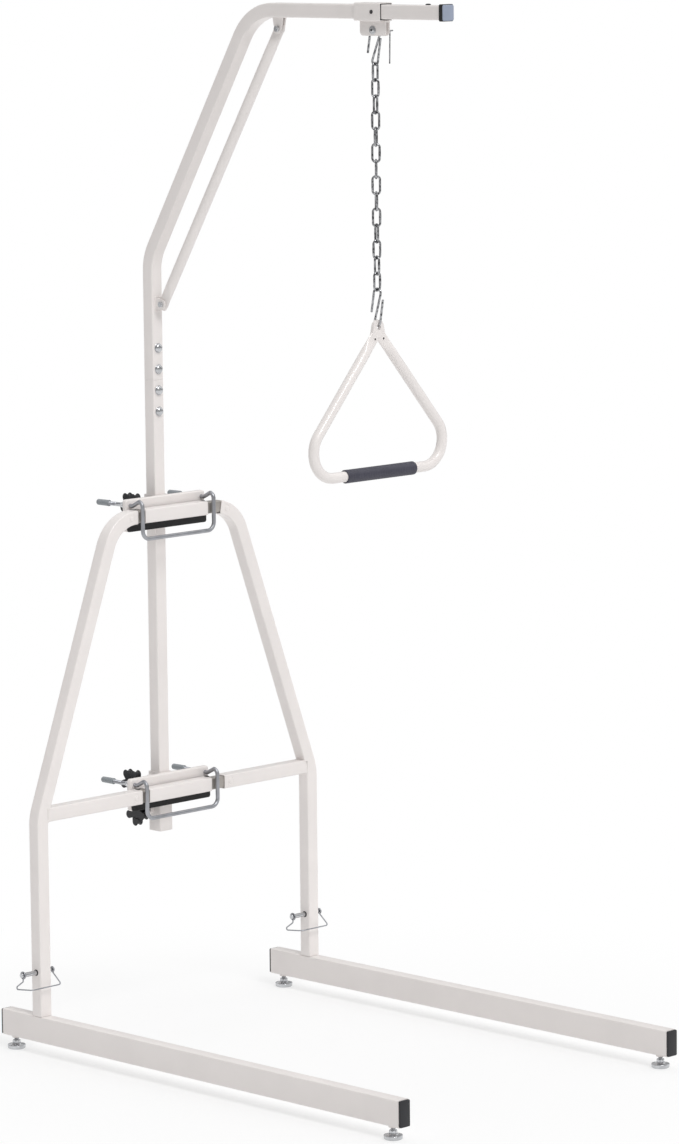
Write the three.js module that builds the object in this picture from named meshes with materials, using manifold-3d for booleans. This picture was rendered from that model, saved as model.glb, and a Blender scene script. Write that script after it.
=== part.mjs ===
// Bed trapeze: a free-standing floor frame that carries a mast, an overhead arm, a chain and a handle.
// Millimetres. X runs across the frame, -Y is the way that the arm and the floor legs reach, Z is up.
import * as THREE from 'three';
import { mergeVertices } from 'three/addons/utils/BufferGeometryUtils.js';
import Module from 'manifold-3d';

const wasm = await Module();
wasm.setup();

// Steel tube of the frame, the mast and the arm
const tubeSide = 25.4;
const tubeWall = 1.5;
const tubeCorner = 2.5;
const clearance = 0.3; // between pieces that touch
const overrun = 5; // how far a cut runs past the face that it opens

// Floor legs and their end plugs
const baseWidth = 710;
const baseLength = 1018;
const legHeight = 48;
const legClearance = 24.1; // floor to the underside of a leg
const plugFlange = 3;
const plugDepth = 16;
const plugWall = 2.2;
const plugSetback = 0.7; // the flange is this much smaller than the tube, each side

// Levelling feet
const footRadius = 16.5;
const footRim = 3.5;
const footEdge = 1.2;
const footHeight = 10;
const footNeckRadius = 6;
const footSlopeHeight = 7.8; // halfway up the pad's upper face
const footStudRadius = 4.25;
const footStudReach = 14; // above the underside of the leg
const footNutFlats = 13;
const footNutHeight = 5.5;
const footBossRadius = 8;
const footBossHeight = 3.5;
const frontFootInset = 28;
const rearFootInset = 26;

// Side frames: a post, one slight bend inwards, a large bend at the top
const postInset = 98; // rear end of the base to the middle of the post
const postStubSide = 21.6;
const postStubHeight = 118;
const lowerBendHeight = 437.3;
const upperBarHeight = 961.5;
const upperBendShoulder = 149.9; // where the slanted and level centrelines cross, from the middle
const lowerBendRadius = 90;
const upperBendRadius = 72;
const frameEnds = { left: 97, right: 112 }; // ends of both crossbars' outer tubes, from the middle
const lowerBarHeight = 441.7;
const linkHalf = 78.5;
const spigotSide = 21.6;
const spigotReach = 30; // how far a spigot enters a tube
const neckRoot = 114; // outer end of the neck in an upper frame end, from the middle
const buttonRadius = 5;
const buttonProud = 1.2;
const buttonInset = 15; // from the end of the tube that it is in

// Lock pins through the posts, with wire keepers
const pinHeight = 153.5;
const pinRadius = 3;
const pinHeadRadius = 4.6;
const pinHeadLength = 9;
const pinHeadOut = 36; // far end of the head, from the face of the post
const pinTipOut = 17;
const keeperWire = 1.25;
const keeperBackReach = 26;
const keeperFrontReach = 24;
const keeperFrontDrop = 24;
const keeperBend = 6;
const keeperEyeDrop = 5.6;
const keeperSides = 5;

// Clamps that hold the mast sleeves on the two crossbars
const padLength = 198;
const padDrop = 29.5; // lower and upper edge of the pad, below and above the crossbar's middle
const padRise = 11;
const padThickness = 4;
const bracketHeight = 60;
const bracketWall = 3;
const bracketDepth = 11.4;
const bracketCorner = 4;
const rodRadius = 3.75;
const rodSpread = 89.5;
const rodDrop = 41; // level of the rod's bottom bar below the crossbar's middle
const rodRise = 28;
const rodArmRise = 19;
const rodKinkNear = 7.4; // kink of the arm, in front of the crossbar's middle and behind it
const rodKinkFar = 9.4;
const rodCornerRadius = 15;
const rodTopRadius = 10;
const rodKinkRadius = 8;
const rodClearance = 0.6;
const rodReach = 104; // end of the rod behind the crossbar's middle
const capRadius = 5.65;
const capLength = 33;
const capWall = 1.6;
const capEdge = 1.2;

// Wing nuts
const wingHubRadius = 6.2;
const wingHubTopRadius = 5;
const wingHubLength = 10;
const wingSpan = 15.6;
const wingRise = 22;
const wingThickness = 2.6;
const wingRoot = 3;
const wingShoulder = 2.35; // outer edge inside the tip, at the hub's top

// Mast sleeves behind the clamps, and their star knobs
const sleeveSide = 31.75;
const sleeveClearance = 0.4;
const sleeveCorner = 3;
const weldSink = 0.375; // how far the sleeve sinks into the web that it is welded to
const lowerSleeveDrop = 81; // lower end of the lower sleeve, below the crossbar's middle
const knobLobes = 5;
const knobRadius = 23;
const knobLobeRadius = 5.4;
const knobWaistRadius = 10;
const knobThickness = 12;
const knobHubRadius = 7.5;
const knobHubLength = 9;
const knobHubEdge = 1.2;
const knobStudRadius = 3;
const knobBossRadius = 7;
const knobBossLength = 7;
const knobWebGap = 0.8; // between the turning knob and the bracket's web
const knobLowerOut = 51; // middle of the knob from the middle of the mast
const knobUpperOut = 53;
const knobRearOut = 63;
const knobLowerRise = 39.3; // above the lower end of the lower sleeve
const knobRearRise = 17.3; // above the middle of the lower crossbar
const knobUpperRise = 13.5; // above the middle of the upper crossbar

// Mast and arm
const seamRise = 242.5; // seam of the mast above the upper crossbar
const armBendRise = 224; // bend of the arm above the seam
const armBendRadius = 85;
const armShoulderReach = 276.4; // mast axis to the crossing of the slanted and level centrelines
const armRise = 456; // level arm above the bend
const armShoulderRadius = 100;
const armReach = 747.6; // mast axis to the open end of the arm
const spliceSide = 21.6;
const spliceHalf = 92;
const boltPitch = 39;
const boltShares = [-1.5, -0.5, 0.5, 1.5]; // of the pitch, from the seam
const boltRadius = 3;
const boltHole = 0.5;
const washerRadius = 8.9;
const washerThickness = 1.2;
const domeRadius = 8;
const domeHeight = 5;
const domeRingShares = [[0.75, 0.7], [0.3, 1]]; // radius and height of the dome's rings
const boltNutFlats = 11;
const boltNutHeight = 5.5;
const stopPinRadius = 4.6;
const stopPinRise = 2.6;
const stopPinInset = 38.5;
const armPlugLength = 9.6;
const armPlugFaceSide = 27.6;
const armPlugRing = 7;
const armPlugRingSide = 29.6;
const armPlugDepth = 22;

// Brace between mast and arm
const braceRadius = 9.5;
const braceFlat = 2.2; // half the thickness of a flattened end
const braceFlatWidth = 12;
const braceTaper = 34;
const braceEndRound = 11;
const braceEndWidthShare = 0.55; // width of a flattened end at its very tip
const braceEndRunShare = 0.55; // part of the end's rounding over which it reaches full width
const braceFootForward = 30.5; // lower bolt, in front of the mast axis
const braceFootDrop = 84; // lower bolt, below the bend of the arm
const braceHeadForward = 65; // upper bolt, in front of the crossing at the arm's shoulder
const braceHeadDrop = 33; // upper bolt, below the middle of the arm
const braceBoltRadius = 3;
const lugWall = 2.5;
const lugHalfHeight = 13;
const lugNose = 9;
const braceNutFlats = 10;
const braceNutHeight = 5;
const braceHeadRadius = 6.5;
const braceHeadDome = 3.5;

// Chain slider on the arm, with its hanger
const sliderNear = 543.7; // near end of the slider, from the mast axis
const sliderLength = 63;
const hangerLength = 63;
const hangerWall = 2.5;
const hangerInside = 6;
const hangerDrop = 26;
const hangerCorner = 8;
const hangerOffset = 4.5; // hanger's middle beyond the slider's middle
const hangerBoltRadius = 3;
const hangerBoltDrop = 16.1; // below the slider's underside
const hangerBoltHead = 5.2;
const hangerBoltHeadHeight = 3.4;
const setScrewRadius = 3.5;
const setScrewProud = 1.4;

// Hooks and chain
const wire = 4;
const hookHeight = 70;
const hookWidth = 27;
const hookUpperTail = 46; // free end of the upper bow, below the hook's top
const hookLowerTail = 59; // free end of the lower bow, above the hook's bottom
const hookSteps = 9;
const linkCount = 14;
const linkPitch = 28.14;
const linkWidth = 17;
const linkRoundSteps = 6;
const wireSides = 6;

// Handle
const handleTubeRadius = 9.5;
const handleSlope = 41; // degrees from upright
const handleDepth = 248.8; // crossing of the slanted centrelines to the middle of the bottom bar
const handleCornerRadius = 46.5;
const handleEyeRadius = 5;
const handleEyeEdge = 8;
const handleTabThickness = 7;
const handleTaper = 40;
const handleFlatWidth = 11;
const handleEndCut = 9; // tubes stop this far short of the crossing
const handleRivetRadius = 3.6;
const handleRivetProud = 1.2;
const handleRivetAcross = 14;
const handleRivetDrop = 19;
const handleCrossingDrop = 10; // crossing of the centrelines below the hook's lower bow
const gripHalf = 86;
const gripRadius = 12;
const gripEdge = 1.5;

// Facet counts
const cornerSteps = 1;
const bendSteps = 6;
const boltSides = 8;
const roundSides = 12;
const fineSides = 16;
const hexSides = 6;

// Places that the pieces share
const half = 0.5;
const legX = (baseWidth - tubeSide) * half;
const legTop = legClearance + legHeight;
const legMiddleHeight = legClearance + legHeight * half;
const rearEnd = baseLength * half;
const postY = rearEnd - postInset;
const barBack = postY + tubeSide * half;
const barFront = postY - tubeSide * half;
const padFront = barBack + clearance;
const bracketFront = padFront + padThickness + clearance;
const webBack = bracketFront + bracketDepth;
const mastY = webBack + sleeveSide * half;
const sleeveInside = tubeSide + sleeveClearance + sleeveClearance;
const knobY = webBack + knobRadius + knobWebGap;
const lowerSleeveBottom = lowerBarHeight - lowerSleeveDrop;
const knobLowerHeight = lowerSleeveBottom + knobLowerRise;
const knobRearHeight = lowerBarHeight + knobRearRise;
const knobUpperHeight = upperBarHeight + knobUpperRise;
const mastSeam = upperBarHeight + seamRise;
const armBendHeight = mastSeam + armBendRise;
const armHeight = armBendHeight + armRise;
const armShoulderY = mastY - armShoulderReach;
const braceFootY = mastY - braceFootForward;
const braceFootHeight = armBendHeight - braceFootDrop;
const braceHeadY = armShoulderY - braceHeadForward;
const braceHeadHeight = armHeight - braceHeadDrop;
const armEndY = mastY - armReach;
const sliderMiddleY = mastY - sliderNear - sliderLength * half;
const hangerY = sliderMiddleY - hangerOffset;
const sliderBottom = armHeight - sleeveSide * half;
const hangerBoltZ = sliderBottom - hangerBoltDrop;
const hookRadius = (hookWidth - wire) * half;
const hookCentreSpan = hookHeight - wire - hookRadius - hookRadius; // between the centres of the two bows
const wireContact = wire + clearance; // between the middles of two wires that touch
const upperHookTop = hangerBoltZ + hangerBoltRadius + clearance + wire * half; // middle of the wire
const upperHookLow = upperHookTop - (hookHeight - wire);
const linkSpan = linkPitch + wireContact; // middle of the wire to middle of the wire, top to bottom
const firstLinkZ = upperHookLow + wireContact - linkSpan * half;
const lastLinkZ = firstLinkZ - linkPitch * (linkCount - 1);
const lowerHookTop = lastLinkZ - linkSpan * half + wireContact;
const lowerHookLow = lowerHookTop - (hookHeight - wire);
const bowInside = hookRadius - wire * half;
const bowRise = hookRadius - Math.sqrt(bowInside ** 2 - (handleTabThickness * half) ** 2); // wire's top in the eye
const eyeTop = lowerHookLow + bowRise + clearance;
const eyeZ = eyeTop - handleEyeRadius;
const handleCrossingZ = lowerHookLow - handleCrossingDrop;
const handleBarZ = handleCrossingZ - handleDepth;

const alongX = new THREE.Vector3(1, 0, 0);
const alongY = new THREE.Vector3(0, 1, 0);
const alongZ = new THREE.Vector3(0, 0, 1);
const quarterTurn = Math.PI * half;
const fullTurn = Math.PI * 2;

// Finishes
const finish = (color, roughness, metalness) => () =>
  new THREE.MeshStandardMaterial({ color, roughness, metalness });
const enamel = finish(0xece8e2, 0.35, 0.1);
const zinc = finish(0xb9bcc0, 0.35, 0.9);
const greySteel = finish(0x85878c, 0.5, 0.7);
const blackPlastic = finish(0x1b1c1e, 0.55, 0);
const blackRubber = finish(0x16171a, 0.8, 0);
const greyVinyl = finish(0x8d9aa5, 0.6, 0);

// Closed three.js geometry as a solid that can be joined and cut; faces are turned out if they point in
function solid(geometry) {
  const bare = geometry.clone();
  bare.deleteAttribute('normal');
  bare.deleteAttribute('uv');
  const merged = mergeVertices(bare);
  const points = Float32Array.from(merged.attributes.position.array);
  const corner = (i) => new THREE.Vector3().fromArray(points, i * 3);
  const triangles = [];
  let volume = 0;
  for (let i = 0; i < merged.index.count; i += 3) {
    const [a, b, c] = [0, 1, 2].map((k) => merged.index.array[i + k]);
    if (a !== b && b !== c && c !== a) {
      triangles.push([a, b, c]);
      volume += corner(a).dot(corner(b).cross(corner(c)));
    }
  }
  const outward = volume < 0 ? triangles.map(([a, b, c]) => [a, c, b]) : triangles;
  const mesh = new wasm.Mesh({ numProp: 3, vertProperties: points, triVerts: Uint32Array.from(outward.flat()) });
  return new wasm.Manifold(mesh);
}

function join(first, ...others) {
  return others.reduce((whole, next) => whole.add(next), first);
}

function cut(first, ...others) {
  return others.reduce((whole, next) => whole.subtract(next), first);
}

// A named mesh of the model, at its place, turned if need be
const model = new THREE.Group();
function add(name, shape, look, place = new THREE.Vector3(), turn = new THREE.Euler()) {
  const made = shape.getMesh();
  const geometry = new THREE.BufferGeometry();
  geometry.setAttribute('position', new THREE.BufferAttribute(Float32Array.from(made.vertProperties), 3));
  geometry.setIndex(new THREE.BufferAttribute(Uint32Array.from(made.triVerts), 1));
  geometry.computeVertexNormals();
  const mesh = new THREE.Mesh(geometry, look());
  mesh.name = name;
  mesh.position.copy(place);
  mesh.rotation.copy(turn);
  model.add(mesh);
}

// A path whose stations are given exactly, so that a sweep has a ring at each bend's start and end
class Route extends THREE.Curve {
  constructor(stations) {
    super();
    this.stations = stations;
    this.steps = stations.length - 1;
  }
  station(share) {
    return this.stations[Math.round(share * this.steps)];
  }
  getPointAt(share) {
    return this.station(share).point.clone();
  }
  getTangentAt(share) {
    return this.station(share).tangent.clone();
  }
}

// Stations of a bent tube or wire: straight between its corners, each of which is rounded to its radius
function bentStations(corners, radii, steps = bendSteps) {
  const direction = (i) => corners[i + 1].clone().sub(corners[i]).normalize();
  const stations = [{ point: corners[0].clone(), tangent: direction(0) }];
  for (let i = 1; i < corners.length - 1; i += 1) {
    const before = direction(i - 1);
    const after = direction(i);
    const turn = before.angleTo(after);
    const radius = Array.isArray(radii) ? radii[i - 1] : radii;
    const axis = before.clone().cross(after).normalize();
    const start = corners[i].clone().addScaledVector(before, -radius * Math.tan(turn * half));
    const centre = start.clone().addScaledVector(axis.clone().cross(before), radius);
    for (let k = 0; k <= steps; k += 1) {
      const angle = (turn * k) / steps;
      const point = start.clone().sub(centre).applyAxisAngle(axis, angle).add(centre);
      stations.push({ point, tangent: before.clone().applyAxisAngle(axis, angle) });
    }
  }
  const last = corners.length - 1;
  stations.push({ point: corners[last].clone(), tangent: direction(last - 1) });
  return stations;
}

function sweep(shape, stations, curveSegments = cornerSteps) {
  const extrudePath = new Route(stations);
  return solid(new THREE.ExtrudeGeometry(shape, { steps: extrudePath.steps, extrudePath, curveSegments }));
}

// A rectangle about the origin, its corners rounded, traced on a Shape or a hole Path
function rectangle(outline, width, height, corner) {
  const x = width * half;
  const y = height * half;
  const turns = [[1, -1], [1, 1], [-1, 1], [-1, -1]];
  turns.forEach(([sx, sy], i) => {
    if (corner) {
      const start = quarterTurn * (i - 1);
      outline.absarc(sx * (x - corner), sy * (y - corner), corner, start, start + quarterTurn, false);
    } else if (i) {
      outline.lineTo(sx * x, sy * y);
    } else {
      outline.moveTo(sx * x, sy * y);
    }
  });
  outline.closePath();
  return outline;
}

function tubeSection(width, height, corner, wall) {
  const shape = rectangle(new THREE.Shape(), width, height, corner);
  if (wall) shape.holes.push(rectangle(new THREE.Path(), width - wall - wall, height - wall - wall, 0));
  return shape;
}

function polygon(radius, sides) {
  const points = [];
  for (let i = 0; i < sides; i += 1) {
    const angle = (fullTurn * (i + half)) / sides;
    points.push(new THREE.Vector2(Math.cos(angle) * radius, Math.sin(angle) * radius));
  }
  return new THREE.Shape(points);
}

// Extrusion of a flat outline from one end to the other along X, Y or Z
function extrudeAlong(axis, shape, from, to, curveSegments = cornerSteps) {
  const depth = to - from;
  const geometry = new THREE.ExtrudeGeometry(shape, { depth, bevelEnabled: false, curveSegments });
  geometry.translate(0, 0, from);
  if (axis === 'X') geometry.applyMatrix4(new THREE.Matrix4().makeBasis(alongY, alongZ, alongX));
  if (axis === 'Y') geometry.applyMatrix4(new THREE.Matrix4().makeBasis(alongZ, alongX, alongY));
  return solid(geometry);
}

// Round bar or drill along X, Y or Z
function bar(axis, radius, from, to, place = new THREE.Vector3(), sides = boltSides) {
  const offset = [place.x, place.y, place.z];
  return extrudeAlong(axis, polygon(radius, sides), from, to).translate(offset);
}

// Round hole along X, Y or Z, whose flats lie at the given radius
function drill(axis, radius, from, to, place, sides = boltSides) {
  return bar(axis, radius / Math.cos(Math.PI / sides), from, to, place, sides);
}

function block(low, high) {
  const size = high.clone().sub(low);
  const geometry = new THREE.BoxGeometry(size.x, size.y, size.z);
  const middle = low.clone().add(high).multiplyScalar(half);
  return solid(geometry.translate(middle.x, middle.y, middle.z));
}

// Solid of revolution about Z from [radius, height] pairs that start and end on the axis or close
function revolve(profile, sides = fineSides) {
  const points = profile.map(([radius, height]) => new THREE.Vector2(radius, height));
  const geometry = new THREE.LatheGeometry(points, sides);
  return solid(geometry.rotateX(quarterTurn));
}

function hexPrism(flats, from, to) {
  const radius = (flats * half) / Math.cos(Math.PI / hexSides);
  return extrudeAlong('Z', polygon(radius, hexSides), from, to);
}

// Tube with an oval section that changes along its path; the path lies square to the given direction
function ovalLoft(stations, across, halfSizes, sides = fineSides) {
  const points = [];
  const faces = [];
  stations.forEach(({ point, tangent }, i) => {
    const inPlane = across.clone().cross(tangent);
    const [wide, thick] = halfSizes(i);
    for (let k = 0; k < sides; k += 1) {
      const angle = (fullTurn * (k + half)) / sides;
      const ring = point.clone().addScaledVector(inPlane, Math.cos(angle) * wide);
      points.push(...ring.addScaledVector(across, Math.sin(angle) * thick).toArray());
    }
  });
  const lastRing = (stations.length - 1) * sides;
  for (let k = 0; k < sides; k += 1) {
    const next = (k + 1) % sides;
    for (let ring = 0; ring < lastRing; ring += sides) {
      faces.push(ring + k, ring + next, ring + sides + next, ring + k, ring + sides + next, ring + sides + k);
    }
    if (k > 1) {
      faces.push(0, k, k - 1);
      faces.push(lastRing, lastRing + k - 1, lastRing + k);
    }
  }
  const geometry = new THREE.BufferGeometry();
  geometry.setAttribute('position', new THREE.Float32BufferAttribute(points, 3));
  geometry.setIndex(faces);
  return solid(geometry);
}

// Floor legs, each with the stub that its post stands over and two bosses for its feet
function floorLeg(side) {
  const plugFace = rearEnd - plugFlange - clearance;
  const section = tubeSection(tubeSide, legHeight, tubeCorner, tubeWall);
  const flat = new THREE.ExtrudeGeometry(section, {
    depth: plugFace + plugFace, bevelEnabled: false, curveSegments: cornerSteps,
  });
  const tube = solid(flat.translate(0, 0, -plugFace).rotateX(quarterTurn).translate(0, 0, legMiddleHeight));
  const stubSection = tubeSection(postStubSide, postStubSide, tubeCorner, tubeWall);
  const stub = extrudeAlong('Z', stubSection, legTop - tubeWall * half, legTop + postStubHeight);
  const pinHole = pinRadius + clearance;
  const pinPlace = new THREE.Vector3(0, 0, pinHeight);
  const drilled = cut(stub, drill('X', pinHole, -tubeSide, tubeSide, pinPlace));
  let leg = join(tube, drilled.translate([0, postY, 0]));
  for (const y of [frontFootInset - rearEnd, rearEnd - rearFootInset]) {
    const place = new THREE.Vector3(0, y, 0);
    const bossTop = legClearance + tubeWall * half;
    const boss = bar('Z', footBossRadius, legClearance - footBossHeight, bossTop, place);
    const bore = drill('Z', footStudRadius + clearance, 0, legClearance + tubeWall + overrun, place);
    leg = cut(join(leg, boss), bore);
  }
  add(`floor_leg_${side}`, leg, enamel, new THREE.Vector3(side === 'left' ? -legX : legX, 0, 0));
}

// Plug that closes an end of a leg: a flange and a hollow skirt inside the tube
function legPlug() {
  const flangeWidth = tubeSide - plugSetback - plugSetback;
  const flangeHeight = legHeight - plugSetback - plugSetback;
  const flange = tubeSection(flangeWidth, flangeHeight, tubeCorner, 0);
  const fit = tubeWall + clearance;
  const skirt = tubeSection(tubeSide - fit - fit, legHeight - fit - fit, clearance, plugWall);
  const body = join(
    solid(new THREE.ExtrudeGeometry(flange, { depth: plugFlange, bevelEnabled: false, curveSegments: cornerSteps })),
    solid(new THREE.ExtrudeGeometry(skirt, { depth: plugDepth, bevelEnabled: false, curveSegments: 1 })
      .translate(0, 0, plugFlange - plugDepth - plugFlange * half)),
  );
  return body;
}

function legPlugs(side) {
  const shape = legPlug();
  const x = side === 'left' ? -legX : legX;
  const inner = rearEnd - plugFlange;
  add(`leg_plug_${side}_front`, shape, blackPlastic, new THREE.Vector3(x, -inner, legMiddleHeight),
    new THREE.Euler(quarterTurn, 0, 0));
  add(`leg_plug_${side}_rear`, shape, blackPlastic, new THREE.Vector3(x, inner, legMiddleHeight),
    new THREE.Euler(-quarterTurn, 0, 0));
}

// Levelling foot: a domed pad with its lock nut and stud
function levellingFoot() {
  const studTop = legClearance + footStudReach;
  const pad = revolve([
    [0, 0], [footRadius - footEdge, 0], [footRadius, footEdge], [footRadius, footRim],
    [(footRadius + footNeckRadius) * half, footSlopeHeight],
    [footNeckRadius, footHeight], [footStudRadius, footHeight],
    [footStudRadius, studTop - footEdge], [footStudRadius - footEdge, studTop], [0, studTop],
  ]);
  const nutBottom = footHeight - footEdge;
  return join(pad, hexPrism(footNutFlats, nutBottom, footHeight + footNutHeight));
}

function levellingFeet(side) {
  const shape = levellingFoot();
  const x = side === 'left' ? -legX : legX;
  add(`levelling_foot_${side}_front`, shape, zinc, new THREE.Vector3(x, frontFootInset - rearEnd, 0));
  add(`levelling_foot_${side}_rear`, shape, zinc, new THREE.Vector3(x, rearEnd - rearFootInset, 0));
}

// Side frame: one bent tube that ends in a slimmer neck, the welded stub of the lower crossbar, and a spring
// button near the end of each of the two
function sideFrame(side) {
  const sign = side === 'left' ? -1 : 1;
  const at = (x, z) => new THREE.Vector3(sign * x, postY, z);
  const foot = legTop + clearance;
  const corners = [at(legX, foot), at(legX, lowerBendHeight), at(upperBendShoulder, upperBarHeight),
    at(linkHalf, upperBarHeight)];
  const stations = bentStations(corners, [lowerBendRadius, upperBendRadius]);
  const section = tubeSection(tubeSide, tubeSide, tubeCorner, tubeWall);
  const tube = sweep(section, stations);
  const across = (shape, inner, outer, height) => {
    const [from, to] = [sign * inner, sign * outer].sort((a, b) => a - b);
    return extrudeAlong('X', shape, from, to).translate([0, postY, height]);
  };
  const end = frameEnds[side];
  const past = across(tubeSection(tubeSide + overrun, tubeSide + overrun, 0, 0), 0, end, upperBarHeight);
  const neckSection = tubeSection(spigotSide, spigotSide, tubeCorner, tubeWall);
  const neck = across(neckSection, linkHalf - spigotReach, neckRoot, upperBarHeight);
  const stub = across(section, end, legX - tubeSide * half + tubeWall * half, lowerBarHeight);
  const pinPlace = new THREE.Vector3(sign * legX, postY, pinHeight);
  const pinHole = drill('X', pinRadius + clearance, -tubeSide, tubeSide, pinPlace);
  const buttonPlace = end + buttonInset;
  const buttonDrop = upperBendRadius - Math.sqrt(
    upperBendRadius ** 2 - (buttonPlace - bendEnd(stations)) ** 2);
  const buttons = [upperBarHeight - buttonDrop, lowerBarHeight].map((z) => bar('Y', buttonRadius,
    barFront - buttonProud, barFront + tubeWall * half, new THREE.Vector3(sign * buttonPlace, 0, z)));
  add(`side_frame_${side}`, join(cut(tube, pinHole, past), neck, stub, ...buttons), enamel);
}

// Distance from the middle at which the upper bend of a side frame ends
function bendEnd(stations) {
  return Math.abs(stations[stations.length - 2].point.x);
}

// Crossbar links: the lower one has slimmer spigots that enter the stubs, the upper one takes the frames' necks
function crossbarLinks() {
  const reach = frameEnds.right + spigotReach;
  const spigotSection = tubeSection(spigotSide, spigotSide, tubeCorner, tubeWall);
  const coreSide = spigotSide - tubeWall - tubeWall;
  const core = extrudeAlong('X', tubeSection(coreSide, coreSide, 0, 0), -reach, reach);
  const sleeve = extrudeAlong('X', tubeSection(tubeSide, tubeSide, tubeCorner, 0), -linkHalf, linkHalf);
  const lower = join(cut(sleeve, core), extrudeAlong('X', spigotSection, -reach, reach));
  const upper = extrudeAlong('X', tubeSection(tubeSide, tubeSide, tubeCorner, tubeWall), -linkHalf, linkHalf);
  add('crossbar_link_lower', lower, enamel, new THREE.Vector3(0, postY, lowerBarHeight));
  add('crossbar_link_upper', upper, enamel, new THREE.Vector3(0, postY, upperBarHeight));
}

// Lock pin with its drilled head, and the wire keeper that hangs from the head and snaps over the tip
function lockPin(side) {
  const x = side === 'left' ? -legX : legX;
  const headEnd = -tubeSide * half - pinHeadOut;
  const tip = tubeSide * half + pinTipOut;
  const shank = bar('X', pinRadius, headEnd, tip - pinRadius);
  const nose = bar('X', pinRadius * half, tip - pinRadius - overrun, tip);
  const head = bar('X', pinHeadRadius, headEnd, headEnd + pinHeadLength);
  add(`lock_pin_${side}`, join(shank, nose, head), zinc, new THREE.Vector3(x, postY, pinHeight));

  const eyeX = headEnd + pinHeadLength * half;
  const farX = tip - pinRadius;
  const level = -pinHeadRadius - keeperWire - clearance;
  const corners = [
    new THREE.Vector3(eyeX, 0, level),
    new THREE.Vector3(eyeX, 0, level - keeperEyeDrop),
    new THREE.Vector3(eyeX, keeperBackReach, -keeperFrontDrop - keeperEyeDrop),
    new THREE.Vector3(eyeX, -keeperFrontReach, -keeperFrontDrop),
    new THREE.Vector3(farX, -keeperFrontReach, -keeperFrontDrop),
    new THREE.Vector3(farX, 0, -pinRadius - keeperWire - clearance),
  ];
  const radii = [keeperBend * half, keeperBend * half, keeperBend, keeperBend];
  const loop = sweep(polygon(keeperWire, keeperSides), bentStations(corners, radii, 2));
  const ring = (around, ringX) => {
    const radius = around + clearance + keeperWire;
    const torus = new THREE.TorusGeometry(radius, keeperWire, keeperSides, boltSides);
    return solid(torus.rotateY(quarterTurn).translate(ringX, 0, 0));
  };
  const keeper = join(loop, ring(pinHeadRadius, eyeX), ring(pinRadius, farX));
  add(`pin_keeper_${side}`, keeper, zinc, new THREE.Vector3(x, postY, pinHeight));
}

// Clamp pad: a flat rubber-faced plate between the crossbar and the lower part of the bracket
function clampPad(name, height) {
  const plate = rectangle(new THREE.Shape(), padLength, padDrop + padRise, tubeCorner);
  const body = extrudeAlong('Y', turned(plate), padFront, padFront + padThickness);
  add(name, body.translate([0, 0, (padRise - padDrop) * half]), blackRubber, new THREE.Vector3(0, 0, height));
}

// The same outline with width and height changed over, for an extrusion along Y or X
function turned(outline, steps = cornerSteps) {
  const points = outline.getPoints(steps).map((p) => new THREE.Vector2(p.y, p.x));
  return new THREE.Shape(points);
}

function rodHoles() {
  return [-1, 1].map((sign) => drill('Y', rodRadius + rodClearance, padFront - overrun, webBack + overrun,
    new THREE.Vector3(sign * rodSpread, 0, rodArmRise)));
}

// Bracket: a flat box tube, with the square sleeve of the mast welded to its rear
function clampBracket(name, height, sleeveLow, sleeveHigh, knobs) {
  const outline = tubeSection(bracketDepth, bracketHeight, bracketCorner, bracketWall);
  const box = extrudeAlong('X', outline, -padLength * half, padLength * half)
    .translate([0, bracketFront + bracketDepth * half, 0]);
  const body = cut(box, ...rodHoles());
  const section = tubeSection(sleeveSide, sleeveSide, sleeveCorner, (sleeveSide - sleeveInside) * half);
  const sleeve = extrudeAlong('Z', section, sleeveLow - height, sleeveHigh - height)
    .translate([0, mastY - weldSink, 0]);
  let bracket = join(body, sleeve);
  for (const knob of knobs) {
    const place = new THREE.Vector3(0, knobY, knob - height);
    const face = -sleeveSide * half;
    const boss = bar('X', knobBossRadius, face - knobBossLength, face + tubeWall * half, place);
    const bore = drill('X', knobStudRadius + clearance, face - knobBossLength - overrun, -tubeSide * half, place);
    bracket = cut(join(bracket, boss), bore);
  }
  const passage = tubeSection(sleeveInside, sleeveInside, 0, 0);
  const opened = cut(bracket, extrudeAlong('Z', passage, sleeveLow - height - overrun,
    sleeveHigh - height + overrun).translate([0, mastY, 0]));
  add(name, opened, enamel, new THREE.Vector3(0, 0, height));
}

// Bent rod that goes round the front of the crossbar; its two arms run back over the pad and through the bracket
function clampRod(name, height) {
  const frontY = barFront - clearance - rodRadius;
  const arm = (sign) => [
    new THREE.Vector3(sign * rodSpread, postY + rodReach, rodArmRise),
    new THREE.Vector3(sign * rodSpread, postY + rodKinkFar, rodArmRise),
    new THREE.Vector3(sign * rodSpread, postY - rodKinkNear, rodRise),
    new THREE.Vector3(sign * rodSpread, frontY, rodRise),
    new THREE.Vector3(sign * rodSpread, frontY, -rodDrop),
  ];
  const corners = [...arm(-1), ...arm(1).reverse()];
  const side = [rodKinkRadius, rodKinkRadius, rodTopRadius, rodCornerRadius];
  const stations = bentStations(corners, [...side, ...side.slice().reverse()], 3);
  add(name, sweep(polygon(rodRadius, boltSides), stations), greySteel, new THREE.Vector3(0, 0, height));
}

function clampRodCap() {
  const inside = (rodRadius + clearance) / Math.cos(Math.PI / boltSides);
  const outer = [[0, 0], [capRadius, 0], [capRadius, capLength - capEdge], [capRadius - capEdge, capLength],
    [0, capLength]];
  const bore = [[0, -overrun], [inside, -overrun], [inside, capLength - capWall], [0, capLength - capWall]];
  return cut(revolve(outer, roundSides), revolve(bore, boltSides));
}

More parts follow.
